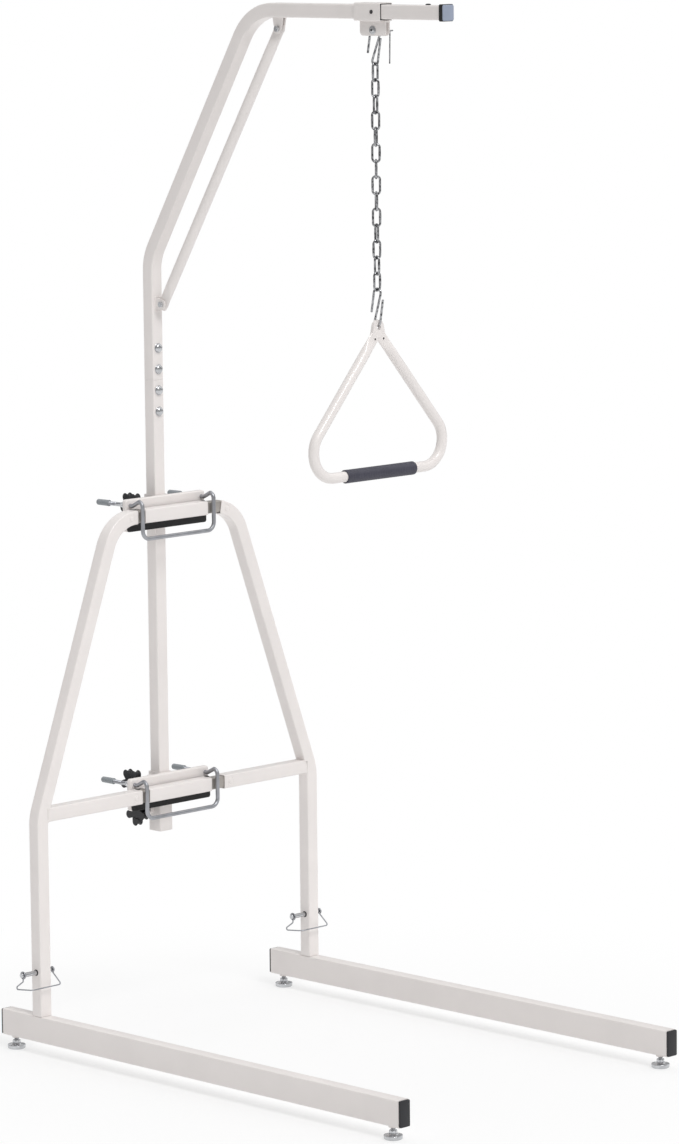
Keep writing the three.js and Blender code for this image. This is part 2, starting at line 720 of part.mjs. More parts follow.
// Wing nut: a tapered hub between two swept wings, drilled for the rod
function wingNut() {
  const hub = revolve([[0, 0], [wingHubRadius, 0], [wingHubTopRadius, wingHubLength], [0, wingHubLength]],
    roundSides);
  const wing = new THREE.Shape();
  wing.moveTo(0, wingRoot);
  wing.lineTo(wingHubRadius, wingRoot);
  wing.lineTo(wingSpan - wingShoulder, wingHubLength);
  wing.absarc(wingSpan - wingRoot, wingRise - wingRoot, wingRoot, 0, quarterTurn + quarterTurn * half, false);
  wing.lineTo(wingHubTopRadius, wingHubLength);
  wing.lineTo(0, wingHubLength);
  wing.closePath();
  const blade = new THREE.ExtrudeGeometry(wing, {
    depth: wingThickness, bevelEnabled: false, curveSegments: 3,
  });
  blade.translate(0, 0, -wingThickness * half).rotateX(quarterTurn);
  const right = solid(blade);
  const left = right.rotate([0, 0, 180]);
  const bore = drill('Z', rodRadius + rodClearance * half, -overrun, wingRise + overrun);
  return cut(join(hub, right, left), bore);
}

// Star knob about Z: lobes round a waist, a hub towards the stud, and the stud itself
function starKnob(studLength) {
  const outline = new THREE.Shape();
  const lobeCentre = knobRadius - knobLobeRadius;
  for (let i = 0; i < knobLobes; i += 1) {
    const angle = (fullTurn * i) / knobLobes;
    const dip = angle + fullTurn / knobLobes * half;
    const x = Math.cos(angle) * lobeCentre;
    const y = Math.sin(angle) * lobeCentre;
    outline.absarc(x, y, knobLobeRadius, angle - quarterTurn, angle + quarterTurn, false);
    outline.lineTo(Math.cos(dip) * knobWaistRadius, Math.sin(dip) * knobWaistRadius);
  }
  outline.closePath();
  const star = extrudeAlong('Z', outline, -knobThickness * half, knobThickness * half, 4);
  const hubTop = knobThickness * half + knobHubLength;
  const hub = revolve([[0, 0], [knobWaistRadius - knobHubEdge, 0], [knobHubRadius, hubTop], [0, hubTop]], roundSides);
  const stud = bar('Z', knobStudRadius, 0, studLength);
  return join(star, hub, stud);
}

function starKnobs() {
  const knob = (name, out, height) => {
    const studTip = out - tubeSide * half - clearance;
    add(name, starKnob(studTip), blackPlastic, new THREE.Vector3(-out, knobY, height),
      new THREE.Euler(0, quarterTurn, 0));
  };
  knob('star_knob_lower', knobLowerOut, knobLowerHeight);
  knob('star_knob_rear', knobRearOut, knobRearHeight);
  knob('star_knob_upper', knobUpperOut, knobUpperHeight);
}

function clamp(level, height, sleeveLow, sleeveHigh, knobs) {
  clampBracket(`clamp_bracket_${level}`, height, sleeveLow, sleeveHigh, knobs);
  clampPad(`clamp_pad_${level}`, height);
  clampRod(`clamp_rod_${level}`, height);
  for (const [side, sign] of [['left', -1], ['right', 1]]) {
    const x = sign * rodSpread;
    const z = height + rodArmRise;
    add(`wing_nut_${level}_${side}`, wingNut(), zinc, new THREE.Vector3(x, webBack + clearance, z),
      new THREE.Euler(-quarterTurn, 0, 0));
    const capY = postY + rodReach + capWall + clearance - capLength;
    add(`rod_cap_${level}_${side}`, clampRodCap(), greyVinyl, new THREE.Vector3(x, capY, z),
      new THREE.Euler(-quarterTurn, 0, 0));
  }
}

// Heights of the four bolts through the splice, two on each side of the seam
function boltHeights() {
  return boltShares.map((share) => mastSeam + share * boltPitch);
}

function boltHoles() {
  return boltHeights().map((z) => drill('Y', boltRadius + boltHole, -tubeSide, tubeSide,
    new THREE.Vector3(0, mastY, z)));
}

function mastLowerTube() {
  const section = tubeSection(tubeSide, tubeSide, tubeCorner, tubeWall);
  const tube = extrudeAlong('Z', section, lowerSleeveBottom, mastSeam - clearance).translate([0, mastY, 0]);
  add('mast_lower_tube', cut(tube, ...boltHoles()), enamel);
}

// Inner tube across the seam, with its four dome-headed bolts and their nuts
function spliceTube() {
  const section = tubeSection(spliceSide, spliceSide, tubeCorner, tubeWall);
  let splice = extrudeAlong('Z', section, mastSeam - spliceHalf, mastSeam + spliceHalf);
  const face = tubeSide * half + clearance;
  const dome = revolve([[0, 0], [washerRadius, 0], [washerRadius, washerThickness],
    [domeRadius, washerThickness],
    ...domeRingShares.map(([across, up]) => [domeRadius * across, washerThickness + domeHeight * up]),
    [0, washerThickness + domeHeight]], roundSides);
  for (const z of boltHeights()) {
    const place = new THREE.Vector3(0, 0, z);
    const shank = bar('Y', boltRadius, -face - washerThickness, face + boltNutHeight, place);
    const head = dome.rotate([90, 0, 0]).translate([0, -face, z]);
    const nut = hexPrism(boltNutFlats, 0, boltNutHeight - clearance).rotate([-90, 0, 0]).translate([0, face, z]);
    splice = join(splice, shank, head, nut);
  }
  add('splice_tube', splice, zinc, new THREE.Vector3(0, mastY, 0));
}

// Lugs: a pair of cheeks that take one end of the brace, drilled for its bolt
function lugs(outlinePoints, boltY, boltZ) {
  const shape = new THREE.Shape(outlinePoints);
  const inner = braceFlat + clearance;
  const hole = drill('X', braceBoltRadius + clearance, -tubeSide, tubeSide, new THREE.Vector3(0, boltY, boltZ));
  return [-1, 1].map((sign) => {
    const [from, to] = sign < 0 ? [-inner - lugWall, -inner] : [inner, inner + lugWall];
    return cut(extrudeAlong('X', shape, from, to), hole);
  });
}

// Upper arm: one tube with two bends, the brace's lugs and the stop pin
function mastUpperArm() {
  const at = (y, z) => new THREE.Vector3(0, y, z);
  const corners = [at(mastY, mastSeam), at(mastY, armBendHeight), at(armShoulderY, armHeight),
    at(armEndY, armHeight)];
  const tube = sweep(tubeSection(tubeSide, tubeSide, tubeCorner, tubeWall),
    bentStations(corners, [armBendRadius, armShoulderRadius]));
  const mastFront = mastY - tubeSide * half + tubeWall * half;
  const footLugs = lugs([
    new THREE.Vector2(mastFront, braceFootHeight - lugHalfHeight),
    new THREE.Vector2(braceFootY - lugNose * half, braceFootHeight - lugNose),
    new THREE.Vector2(braceFootY - lugNose, braceFootHeight),
    new THREE.Vector2(braceFootY - lugNose * half, braceFootHeight + lugNose),
    new THREE.Vector2(mastFront, braceFootHeight + lugHalfHeight),
  ], braceFootY, braceFootHeight);
  const armUnder = armHeight - tubeSide * half + tubeWall * half;
  const headLugs = lugs([
    new THREE.Vector2(braceHeadY - lugHalfHeight, armUnder),
    new THREE.Vector2(braceHeadY - lugNose, braceHeadHeight - lugNose * half),
    new THREE.Vector2(braceHeadY, braceHeadHeight - lugNose),
    new THREE.Vector2(braceHeadY + lugNose, braceHeadHeight - lugNose * half),
    new THREE.Vector2(braceHeadY + lugHalfHeight, armUnder),
  ], braceHeadY, braceHeadHeight);
  const pinRoot = armHeight + tubeSide * half - tubeWall * half;
  const pinTop = armHeight + tubeSide * half + stopPinRise;
  const stopPin = bar('Z', stopPinRadius, pinRoot, pinTop, at(armEndY + stopPinInset, 0));
  add('mast_upper_arm', join(cut(tube, ...boltHoles()), ...footLugs, ...headLugs, stopPin), enamel);
}

// Brace: a round tube with flattened ends, and the bolts that hold it between the lugs
function armBrace() {
  const foot = new THREE.Vector3(0, braceFootY, braceFootHeight);
  const head = new THREE.Vector3(0, braceHeadY, braceHeadHeight);
  const direction = head.clone().sub(foot).normalize();
  const from = foot.clone().addScaledVector(direction, -braceEndRound);
  const to = head.clone().addScaledVector(direction, braceEndRound);
  const flatRun = braceEndRound + braceEndRound;
  const length = from.distanceTo(to);
  const runs = [0, braceEndRound * braceEndRunShare, flatRun, flatRun + braceTaper * half, flatRun + braceTaper];
  const sizes = [
    [braceFlatWidth * braceEndWidthShare, braceFlat],
    [braceFlatWidth, braceFlat],
    [braceFlatWidth, braceFlat],
    [(braceFlatWidth + braceRadius) * half, (braceFlat + braceRadius) * half],
    [braceRadius, braceRadius],
  ];
  const distances = [...runs, ...runs.slice().reverse().map((run) => length - run)];
  const halves = [...sizes, ...sizes.slice().reverse()];
  const stations = distances.map((run) => ({
    point: from.clone().addScaledVector(direction, run), tangent: direction,
  }));
  const tube = ovalLoft(stations, alongX, (i) => halves[i]);
  const outside = braceFlat + clearance + lugWall + clearance;
  const bolts = [foot, head].flatMap((place) => [
    bar('X', braceBoltRadius, -outside - braceNutHeight, outside + braceHeadDome * half, place),
    revolve([[0, 0], [braceHeadRadius, 0], [braceHeadRadius * half, braceHeadDome], [0, braceHeadDome]], roundSides)
      .rotate([0, 90, 0]).translate([outside, place.y, place.z]),
    hexPrism(braceNutFlats, 0, braceNutHeight - clearance).rotate([0, -90, 0])
      .translate([-outside, place.y, place.z]),
  ]);
  add('arm_brace', join(tube, ...bolts), enamel);
}

// Plug in the open end of the arm: a skirt inside the tube, a square ring and a slightly smaller face
function armEndPlug() {
  const fit = tubeSide - tubeWall - tubeWall - clearance - clearance;
  const ringFrom = armEndY - clearance - armPlugRing;
  const faceFrom = armEndY - clearance - armPlugLength;
  const skirt = extrudeAlong('Y', tubeSection(fit, fit, clearance, plugWall), ringFrom, armEndY + armPlugDepth, 1);
  const ringSection = tubeSection(armPlugRingSide, armPlugRingSide, tubeCorner, 0);
  const ring = extrudeAlong('Y', ringSection, ringFrom, armEndY - clearance);
  const faceSection = tubeSection(armPlugFaceSide, armPlugFaceSide, tubeCorner, 0);
  const face = extrudeAlong('Y', faceSection, faceFrom, ringFrom);
  add('arm_end_plug', join(skirt, ring, face), greyVinyl, new THREE.Vector3(0, 0, armHeight));
}

// Slider on the arm: a square sleeve, a set screw, and a small channel below it that holds the hook's bolt
function chainSlider() {
  const wall = (sleeveSide - sleeveInside) * half;
  const section = tubeSection(sleeveSide, sleeveSide, sleeveCorner, wall);
  const sleeve = extrudeAlong('Y', section, sliderMiddleY - sliderLength * half, sliderMiddleY + sliderLength * half)
    .translate([0, 0, armHeight]);
  const screw = bar('X', setScrewRadius, -sleeveSide * half - setScrewProud, -sleeveInside * half - wall * half,
    new THREE.Vector3(0, sliderMiddleY, armHeight));
  const low = sliderBottom - hangerDrop;
  const cheek = new THREE.Shape();
  const near = hangerY - hangerLength * half;
  const far = hangerY + hangerLength * half;
  const under = sliderBottom + wall * half;
  cheek.moveTo(near, under);
  cheek.absarc(near + hangerCorner, low + hangerCorner, hangerCorner, Math.PI, Math.PI + quarterTurn, false);
  cheek.absarc(far - hangerCorner, low + hangerCorner, hangerCorner, -quarterTurn, 0, false);
  cheek.lineTo(far, under);
  cheek.closePath();
  const reach = hangerInside * half;
  const boltHoleBar = drill('X', hangerBoltRadius + clearance, -tubeSide, tubeSide,
    new THREE.Vector3(0, hangerY, hangerBoltZ));
  const cheeks = [[-reach - hangerWall, -reach], [reach, reach + hangerWall]]
    .map(([from, to]) => cut(extrudeAlong('X', cheek, from, to, 3), boltHoleBar));
  const sliderEnd = sliderMiddleY - sliderLength * half;
  const web = block(new THREE.Vector3(-reach - wall * half, near, sliderBottom - hangerWall),
    new THREE.Vector3(reach + wall * half, far, sliderBottom + wall * half));
  const passage = block(new THREE.Vector3(-sleeveInside * half, near - overrun, armHeight - sleeveInside * half),
    new THREE.Vector3(sleeveInside * half, sliderEnd + sliderLength + overrun, armHeight + sleeveInside * half));
  add('chain_slider', cut(join(sleeve, screw, ...cheeks, web), passage), enamel);
}

function hangerBolt() {
  const out = hangerInside * half + hangerWall + clearance;
  const shank = bar('X', hangerBoltRadius, -out - hangerBoltHeadHeight, out + hangerBoltHeadHeight * half);
  const head = revolve([[0, 0], [hangerBoltHead, 0], [hangerBoltHead * half, hangerBoltHeadHeight],
    [0, hangerBoltHeadHeight]], roundSides).rotate([0, -90, 0]).translate([-out, 0, 0]);
  const nut = hexPrism(hangerBoltHead + hangerBoltHead - clearance, 0, hangerBoltHeadHeight).rotate([0, 90, 0])
    .translate([out, 0, 0]);
  add('hanger_bolt', join(shank, head, nut), zinc, new THREE.Vector3(0, hangerY, hangerBoltZ));
}

// S-hook in the YZ plane: two bows joined by the straight wire that touches both; Z=0 is the upper bow's top
function sHook() {
  const upper = new THREE.Vector3(0, 0, -hookRadius);
  const lower = new THREE.Vector3(0, 0, -hookRadius - hookCentreSpan);
  const slant = Math.asin((hookRadius + hookRadius) / hookCentreSpan);
  const stations = [];
  const push = (centre, angle, turn) => {
    const radial = new THREE.Vector3(0, Math.cos(angle), Math.sin(angle));
    const tangent = new THREE.Vector3(0, -Math.sin(angle), Math.cos(angle)).multiplyScalar(turn);
    stations.push({ point: centre.clone().addScaledVector(radial, hookRadius), tangent });
  };
  const tail = (y, z) => ({ point: new THREE.Vector3(0, y, z), tangent: alongZ.clone() });
  stations.push(tail(hookRadius, -hookUpperTail));
  for (let i = 0; i <= hookSteps; i += 1) {
    push(upper, ((Math.PI + slant) * i) / hookSteps, 1);
  }
  for (let i = 0; i <= hookSteps; i += 1) {
    push(lower, slant - ((Math.PI + slant) * i) / hookSteps, -1);
  }
  stations.push(tail(-hookRadius, hookLowerTail - hookHeight + wire * half));
  return sweep(polygon(wire * half, wireSides), stations);
}

// Chain link in the YZ plane about its middle: a ring whose upper and lower halves are drawn apart
function chainLink() {
  const radius = (linkWidth - wire) * half;
  const ring = new THREE.TorusGeometry(radius, wire * half, wireSides, linkRoundSteps + linkRoundSteps);
  ring.rotateZ(Math.PI / (linkRoundSteps + linkRoundSteps)).rotateX(quarterTurn).rotateZ(quarterTurn);
  const stretch = linkSpan * half - radius;
  const place = ring.attributes.position;
  for (let i = 0; i < place.count; i += 1) {
    place.setZ(i, place.getZ(i) + Math.sign(place.getZ(i)) * stretch);
  }
  return solid(ring);
}

// Upper hook, the links and the lower hook; each piece is turned a quarter and a little more than the last,
// so that the whole chain has turned a further quarter by the lower hook
function chain() {
  const pieces = linkCount + 1;
  const step = quarterTurn + quarterTurn / pieces;
  add('hook_upper', sHook(), zinc, new THREE.Vector3(0, hangerY, upperHookTop));
  const shape = chainLink();
  for (let i = 1; i <= linkCount; i += 1) {
    const place = new THREE.Vector3(0, hangerY, firstLinkZ - linkPitch * (i - 1));
    add(`chain_link_${String(i).padStart(2, '0')}`, shape, zinc, place, new THREE.Euler(0, 0, step * i));
  }
  add('hook_lower', sHook(), zinc, new THREE.Vector3(0, hangerY, lowerHookTop));
}

// Handle: one tube bent to a triangle, its two ends flattened and riveted to a tab with the hook's eye
function handleTube() {
  const slope = THREE.MathUtils.degToRad(handleSlope);
  const at = (x, z) => new THREE.Vector3(x, hangerY, z);
  const cornerX = handleDepth * Math.tan(slope);
  const endX = handleEndCut * Math.sin(slope);
  const endZ = handleCrossingZ - handleEndCut * Math.cos(slope);
  const corners = [at(-endX, endZ), at(-cornerX, handleBarZ), at(cornerX, handleBarZ), at(endX, endZ)];
  const bent = bentStations(corners, handleCornerRadius);
  const first = bent[0];
  const last = bent[bent.length - 1];
  const along = (station, run) => ({
    point: station.point.clone().addScaledVector(station.tangent, run), tangent: station.tangent.clone(),
  });
  const stations = [first, along(first, handleTaper * half), along(first, handleTaper), ...bent.slice(1, -1),
    along(last, -handleTaper), along(last, -handleTaper * half), last];
  const flat = [handleFlatWidth, handleTabThickness * half];
  const middle = flat.map((size) => (size + handleTubeRadius) * half);
  const round = [handleTubeRadius, handleTubeRadius];
  const sizeAt = (i) => {
    const fromEnd = Math.min(i, stations.length - 1 - i);
    return [flat, middle][fromEnd] || round;
  };
  const tube = ovalLoft(stations, alongY, sizeAt);
  const crown = handleEyeRadius + handleEyeEdge;
  const tabFoot = handleRivetAcross + handleRivetRadius;
  const tab = new THREE.Shape();
  tab.absarc(0, eyeZ, crown, 0, Math.PI, false);
  tab.lineTo(-tabFoot, eyeZ - handleRivetDrop);
  tab.lineTo(tabFoot, eyeZ - handleRivetDrop);
  tab.closePath();
  const outline = turned(tab, bendSteps);
  const thick = handleTabThickness * half;
  const plate = extrudeAlong('Y', outline, hangerY - thick, hangerY + thick);
  const rivetZ = eyeZ - handleRivetDrop + handleRivetRadius;
  const rivets = [-1, 1].map((sign) => bar('Y', handleRivetRadius, hangerY - thick - handleRivetProud,
    hangerY + thick + handleRivetProud, new THREE.Vector3(sign * handleRivetAcross, 0, rivetZ)));
  const eye = drill('Y', handleEyeRadius, hangerY - tubeSide, hangerY + tubeSide, at(0, eyeZ).setY(0), fineSides);
  add('handle_tube', cut(join(tube, plate, ...rivets), eye), enamel);
}

function handGrip() {
  const inside = handleTubeRadius + clearance;
  const sleeve = revolve([[inside, -gripHalf], [gripRadius - gripEdge, -gripHalf], [gripRadius, gripEdge - gripHalf],
    [gripRadius, gripHalf - gripEdge], [gripRadius - gripEdge, gripHalf], [inside, gripHalf], [inside, -gripHalf]]);
  add('hand_grip', sleeve, blackRubber, new THREE.Vector3(0, hangerY, handleBarZ),
    new THREE.Euler(0, quarterTurn, 0));
}

for (const side of ['left', 'right']) {
  floorLeg(side);
  legPlugs(side);
  levellingFeet(side);
  sideFrame(side);
  lockPin(side);
}
crossbarLinks();
const lowerBracketTop = lowerBarHeight + bracketHeight * half;
clamp('lower', lowerBarHeight, lowerSleeveBottom, lowerBracketTop, [knobLowerHeight, knobRearHeight]);
clamp('upper', upperBarHeight, upperBarHeight - bracketHeight * half, upperBarHeight + bracketHeight * half,
  [knobUpperHeight]);
starKnobs();
mastLowerTube();
spliceTube();
mastUpperArm();
armBrace();
armEndPlug();
chainSlider();
hangerBolt();
chain();
handleTube();
handGrip();

// The origin is the middle of the part's box, on the floor
const box = new THREE.Box3().setFromObject(model, true);
const middle = box.getCenter(new THREE.Vector3());
model.position.set(-middle.x, -middle.y, -box.min.z);

export default model;
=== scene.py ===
"""Bed trapeze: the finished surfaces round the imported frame, in metres, in the frame's own axes.

Every piece is a surface worked out with numpy: a section carried along a route, a profile turned about
an axis, or an outline given a thickness. Places come from the boxes of the frame's nodes. The sizes and
colours that a user would change are settings of the scene, and a small size that belongs to one piece
has its name where that piece is made.
"""

import math

import bpy
import numpy as np
from bpy.props import FloatProperty, FloatVectorProperty, IntProperty, PointerProperty
from mathutils import Matrix, Vector


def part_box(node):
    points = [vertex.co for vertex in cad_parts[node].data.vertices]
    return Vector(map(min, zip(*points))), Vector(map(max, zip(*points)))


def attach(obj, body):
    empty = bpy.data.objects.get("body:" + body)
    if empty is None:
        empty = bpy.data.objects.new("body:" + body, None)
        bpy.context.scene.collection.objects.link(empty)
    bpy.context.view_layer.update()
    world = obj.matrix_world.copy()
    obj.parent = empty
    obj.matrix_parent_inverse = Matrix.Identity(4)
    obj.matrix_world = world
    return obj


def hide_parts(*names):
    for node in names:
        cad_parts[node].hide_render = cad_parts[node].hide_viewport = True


bl_info = {
    "name": "Bed trapeze",
    "version": (1, 0, 0),
    "blender": (4, 5, 0),
    "location": "View3D > Sidebar > Bed trapeze",
    "description": "Finished surfaces of a free-standing bed trapeze",
    "category": "Object",
}

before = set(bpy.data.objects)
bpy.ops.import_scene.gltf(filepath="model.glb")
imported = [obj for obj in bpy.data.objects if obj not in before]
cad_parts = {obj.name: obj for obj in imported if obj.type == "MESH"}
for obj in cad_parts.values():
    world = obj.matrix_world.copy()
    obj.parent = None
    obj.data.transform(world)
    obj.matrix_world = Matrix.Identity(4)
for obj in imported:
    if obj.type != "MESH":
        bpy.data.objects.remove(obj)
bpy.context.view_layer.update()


def low(node):
    """Lowest corner of a node's box."""
    return np.array(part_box(node)[0])


def high(node):
    """Highest corner of a node's box."""
    return np.array(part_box(node)[1])


def middle(node):
    return (low(node) + high(node)) / 2


def span(node):
    return high(node) - low(node)


X, Y, Z = np.eye(3)
SKEW = np.array([1.0, 1.0, 0.0])  # never along a wire that turns in the XZ or the YZ plane
SIDES = {"left": -1, "right": 1}
ENDS = ("front", "rear")
KNOBS = {"lower": ("lower", "rear"), "upper": ("upper",)}  # star knobs of the two clamps

# Places that several pieces share, from the frame

MAST_X, MAST_Y = middle("mast_lower_tube")[:2]
POST_Y = middle("lock_pin_left")[1]  # plane in which both side frames stand
BARS = {level: middle(f"crossbar_link_{level}")[2] for level in KNOBS}  # heights of the crossbars
BOLT = np.array([MAST_X, *middle("hanger_bolt")[1:]])  # middle of the bolt that carries the upper hook

# Counts and sizes that several pieces share

FINE = 24  # points round a wire or a small turned piece
ROUND = 48  # points round a tube or a large turned piece
SEAM = 40  # points round a weld's loop, a washer or the brace
BEAD = 12  # points round a thin wire or a straight weld
SHARP = math.radians(32)  # faces that meet at more than this keep a sharp edge
PLAY = 0.0008  # square tube inside a sleeve: both gaps together
SLEEVE_CORNER = 0.003  # outer corner radius of a sleeve
SCREW = (0.003, 0.0004, 0.001)  # radius, thread depth and pitch of the small bolts and studs
EYE_RADIUS = 0.013  # outer radius of the plate round the handle's eye
TAB_HALF = 0.0035  # half the thickness of the handle's flattened top


def length_setting(name, default, description):
    return FloatProperty(name=name, description=description, default=default, min=0.0, unit="LENGTH")


def angle_setting(name, degrees, description):
    return FloatProperty(name=name, description=description, default=math.radians(degrees), subtype="ANGLE",
                         unit="ROTATION")


def colour_setting(name, default, description):
    return FloatVectorProperty(name=name, description=description, default=default, min=0.0, max=1.0,
                               size=3, subtype="COLOR")


class TrapezeTubes(bpy.types.PropertyGroup):
    """Tubes of the base, the side frames, the mast and the arm"""

    side: length_setting("Tube side", 0.0254, "Outer side of the square tube")
    wall: length_setting("Tube wall", 0.0015, "Wall of the square tube")
    corner: length_setting("Tube corner", 0.0025, "Outer corner radius of the tubes")
    leg_height: length_setting("Leg height", 0.048, "Height of the floor legs' section")
    boss_height: length_setting("Boss height", 0.0035, "Foot boss below a leg")
    boss_radius: length_setting("Boss radius", 0.008, "Radius of a foot boss")
    spigot: length_setting("Spigot side", 0.0216, "Outer side of the inner tubes")
    lower_bend: length_setting("Lower bend height", 0.4373, "Height at which a post starts to lean inwards")
    shoulder: length_setting("Shoulder", 0.1499, "Middle of the stand to where slope and crossbar cross")
    lower_radius: length_setting("Lower bend radius", 0.09, "Radius of a side frame's lower bend")
    upper_radius: length_setting("Upper bend radius", 0.072, "Radius of a side frame's upper bend")
    left_end: length_setting("Left end", 0.097, "Middle of the stand to the end of the left frame")
    right_end: length_setting("Right end", 0.112, "Middle of the stand to the end of the right frame")
    link_half: length_setting("Link half length", 0.0785, "Half the length of a crossbar's middle tube")
    neck_root: length_setting("Neck root", 0.114, "Middle of the stand to the outer end of a frame's neck")
    spigot_reach: length_setting("Spigot reach", 0.03, "Length of a neck inside the tube that takes it")
    button_inset: length_setting("Button inset", 0.015, "End of a crossbar tube to its spring button")
    arm_bend_rise: length_setting("Arm bend rise", 0.224, "Seam of the mast to the crossing at its bend")
    arm_shoulder: length_setting("Arm shoulder", 0.2764, "Mast axis to the crossing at the arm's shoulder")
    arm_lower_radius: length_setting("Mast bend radius", 0.085, "Radius of the mast's bend")
    arm_upper_radius: length_setting("Arm bend radius", 0.1, "Radius of the arm's shoulder")
    stop_rise: length_setting("Stop screw rise", 0.0026, "Stop screw's head above the arm")
    stop_inset: length_setting("Stop screw inset", 0.0385, "Open end of the arm to its stop screw")


class TrapezeClamps(bpy.types.PropertyGroup):
    """The two clamps that hold the mast, with their nuts and knobs"""

    corner: length_setting("Bracket corner", 0.005, "Radius of the clamp bracket's four corners")
    edge: length_setting("Bracket edge", 0.003, "Rounding of the clamp bracket's rims")
    depth: length_setting("Bracket depth", 0.0114, "Depth of the clamp bracket's flat box")
    height: length_setting("Bracket height", 0.06, "Height of the clamp bracket")
    sleeve: length_setting("Sleeve side", 0.03175, "Outer side of the mast sleeve")
    rod: length_setting("Rod radius", 0.00375, "Radius of the bent clamp rod")
    rod_spread: length_setting("Rod spread", 0.0895, "Middle of the clamp to each arm of its rod")
    thread_length: length_setting("Thread length", 0.052, "Length of the thread at each end of a rod")
    thread_pitch: length_setting("Thread pitch", 0.00125, "Pitch of the rod's thread")
    knob: length_setting("Knob radius", 0.023, "Radius over the lobes of a star knob")
    knob_waist: length_setting("Knob waist", 0.01, "Radius of a star knob between its lobes")
    lobe_half: length_setting("Knob lobe", 0.0052, "Half the width of a star knob's lobe")
    lobes: IntProperty(name="Knob lobes", description="Lobes of a star knob", default=5, min=3, max=8)


class TrapezeChain(bpy.types.PropertyGroup):
    """Slider, hooks, chain and handle"""

    wire: length_setting("Wire", 0.004, "Diameter of the chain's and the hooks' wire")
    wide_bow: length_setting("Wide bow", 0.0272, "Outer width of the upper hook's upper bow")
    middle_bow: length_setting("Middle bow", 0.0205, "Outer width of the lower hook's upper bow")
    narrow_bow: length_setting("Narrow bow", 0.0175, "Outer width of a hook's lower bow")
    upper_tail: length_setting("Upper tail", 0.0355, "Straight length of a hook's upper free end")
    lower_tail: length_setting("Lower tail", 0.041, "Straight length of a hook's lower free end")
    flare: angle_setting("Hook flare", 10, "Lean of a hook's free end from upright")
    # black lining of the slider: painted shade in the gap between sleeve and arm
    liner: length_setting("Slider liner", 0.0011, "Thickness of the slider's liner")
    link_width: length_setting("Link width", 0.017, "Outer width of a chain link")
    links: IntProperty(name="Links", description="Number of chain links", min=1,
                       default=sum(node.startswith("chain_link_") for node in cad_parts))
    slider_length: length_setting("Slider length", 0.063, "Length of the sleeve that runs on the arm")
    handle_radius: length_setting("Handle tube radius", 0.0095, "Radius of the handle's tube")
    handle_corner: length_setting("Handle corner", 0.0465, "Bend radius of the handle's corners")
    handle_slope: angle_setting("Handle slope", 41, "Lean of the handle's sides from upright")
    grip_radius: length_setting("Grip radius", 0.012, "Outer radius of the hand grip")


class TrapezeColours(bpy.types.PropertyGroup):
    """Colours of the finishes, as linear values"""

    enamel: colour_setting("Enamel", (0.86, 0.815, 0.795), "Cream enamel of the tubes")
    zinc: colour_setting("Zinc", (0.62, 0.63, 0.65), "Bright zinc of pins, bolts, nuts and feet")
    # Chain steel: its darker colour and the strong dark mottle of its finish are painted reflection,
    # standing in for the dark and bright surroundings that the chain's zinc mirrors
    links: colour_setting("Chain steel", (0.46, 0.465, 0.48), "Dulled zinc of the chain and the hooks")
    steel: colour_setting("Grey steel", (0.42, 0.43, 0.46), "Dull steel of the clamp rods and the keepers")
    bare: colour_setting("Bare steel", (0.46, 0.43, 0.40), "Bare steel of the crossbars' inner tubes")
    plastic: colour_setting("Black plastic", (0.012, 0.012, 0.016), "Plugs and star knobs")
    rubber: colour_setting("Black rubber", (0.012, 0.012, 0.013), "Clamp pads and the arm plug's ring")
    # Grip rubber: dark rubber, made lighter and bluer than the black rubber as a painted sheen
    grip: colour_setting("Grip rubber", (0.055, 0.054, 0.078), "Hand grip")
    vinyl: colour_setting("Grey vinyl", (0.28, 0.305, 0.325), "Soft caps of the rods")
    blue_vinyl: colour_setting("Blue vinyl", (0.33, 0.375, 0.48), "Face of the arm's end plug")
    floor: colour_setting("Floor", (0.9, 0.9, 0.9), "Pale floor")


# Surfaces


def unit(vectors):
    return vectors / np.linalg.norm(vectors, axis=-1, keepdims=True)


def aside(axis):
    """A direction square to an axis: Z, or X where the axis is upright."""
    return Z if abs(axis[2]) < 0.5 else X


def shell(grid, loop=False):
    """Closed surface over a grid of points: quads between neighbours, columns running round. Rows run
    round too, or end in a flat face each. It is turned outwards by the sign of its volume, which is the
    sum of p . (q x r) over its triangles."""
    rows, columns = grid.shape[:2]
    i, j = np.meshgrid(np.arange(rows if loop else rows - 1), np.arange(columns), indexing="ij")
    after, beside = (i + 1) % rows, (j + 1) % columns
    quads = [i * columns + j, i * columns + beside, after * columns + beside, after * columns + j]
    quads = np.stack(quads, -1).reshape(-1, 4)
    points = grid.reshape(-1, 3)
    a, b, c, d = (points[quads[:, k]] - points.mean(0) for k in range(4))
    volume = (a * np.cross(b, c)).sum() + (a * np.cross(c, d)).sum()
    faces = quads.tolist()
    if not loop:
        ring = np.arange(columns)
        for cap in (ring[::-1], ring + (rows - 1) * columns):
            edge = points[cap] - points.mean(0)
            volume += (edge[0] * np.cross(edge[1:-1], edge[2:])).sum()
            faces.append(cap.tolist())
    if volume < 0:
        faces = [face[::-1] for face in faces]
    return points, faces


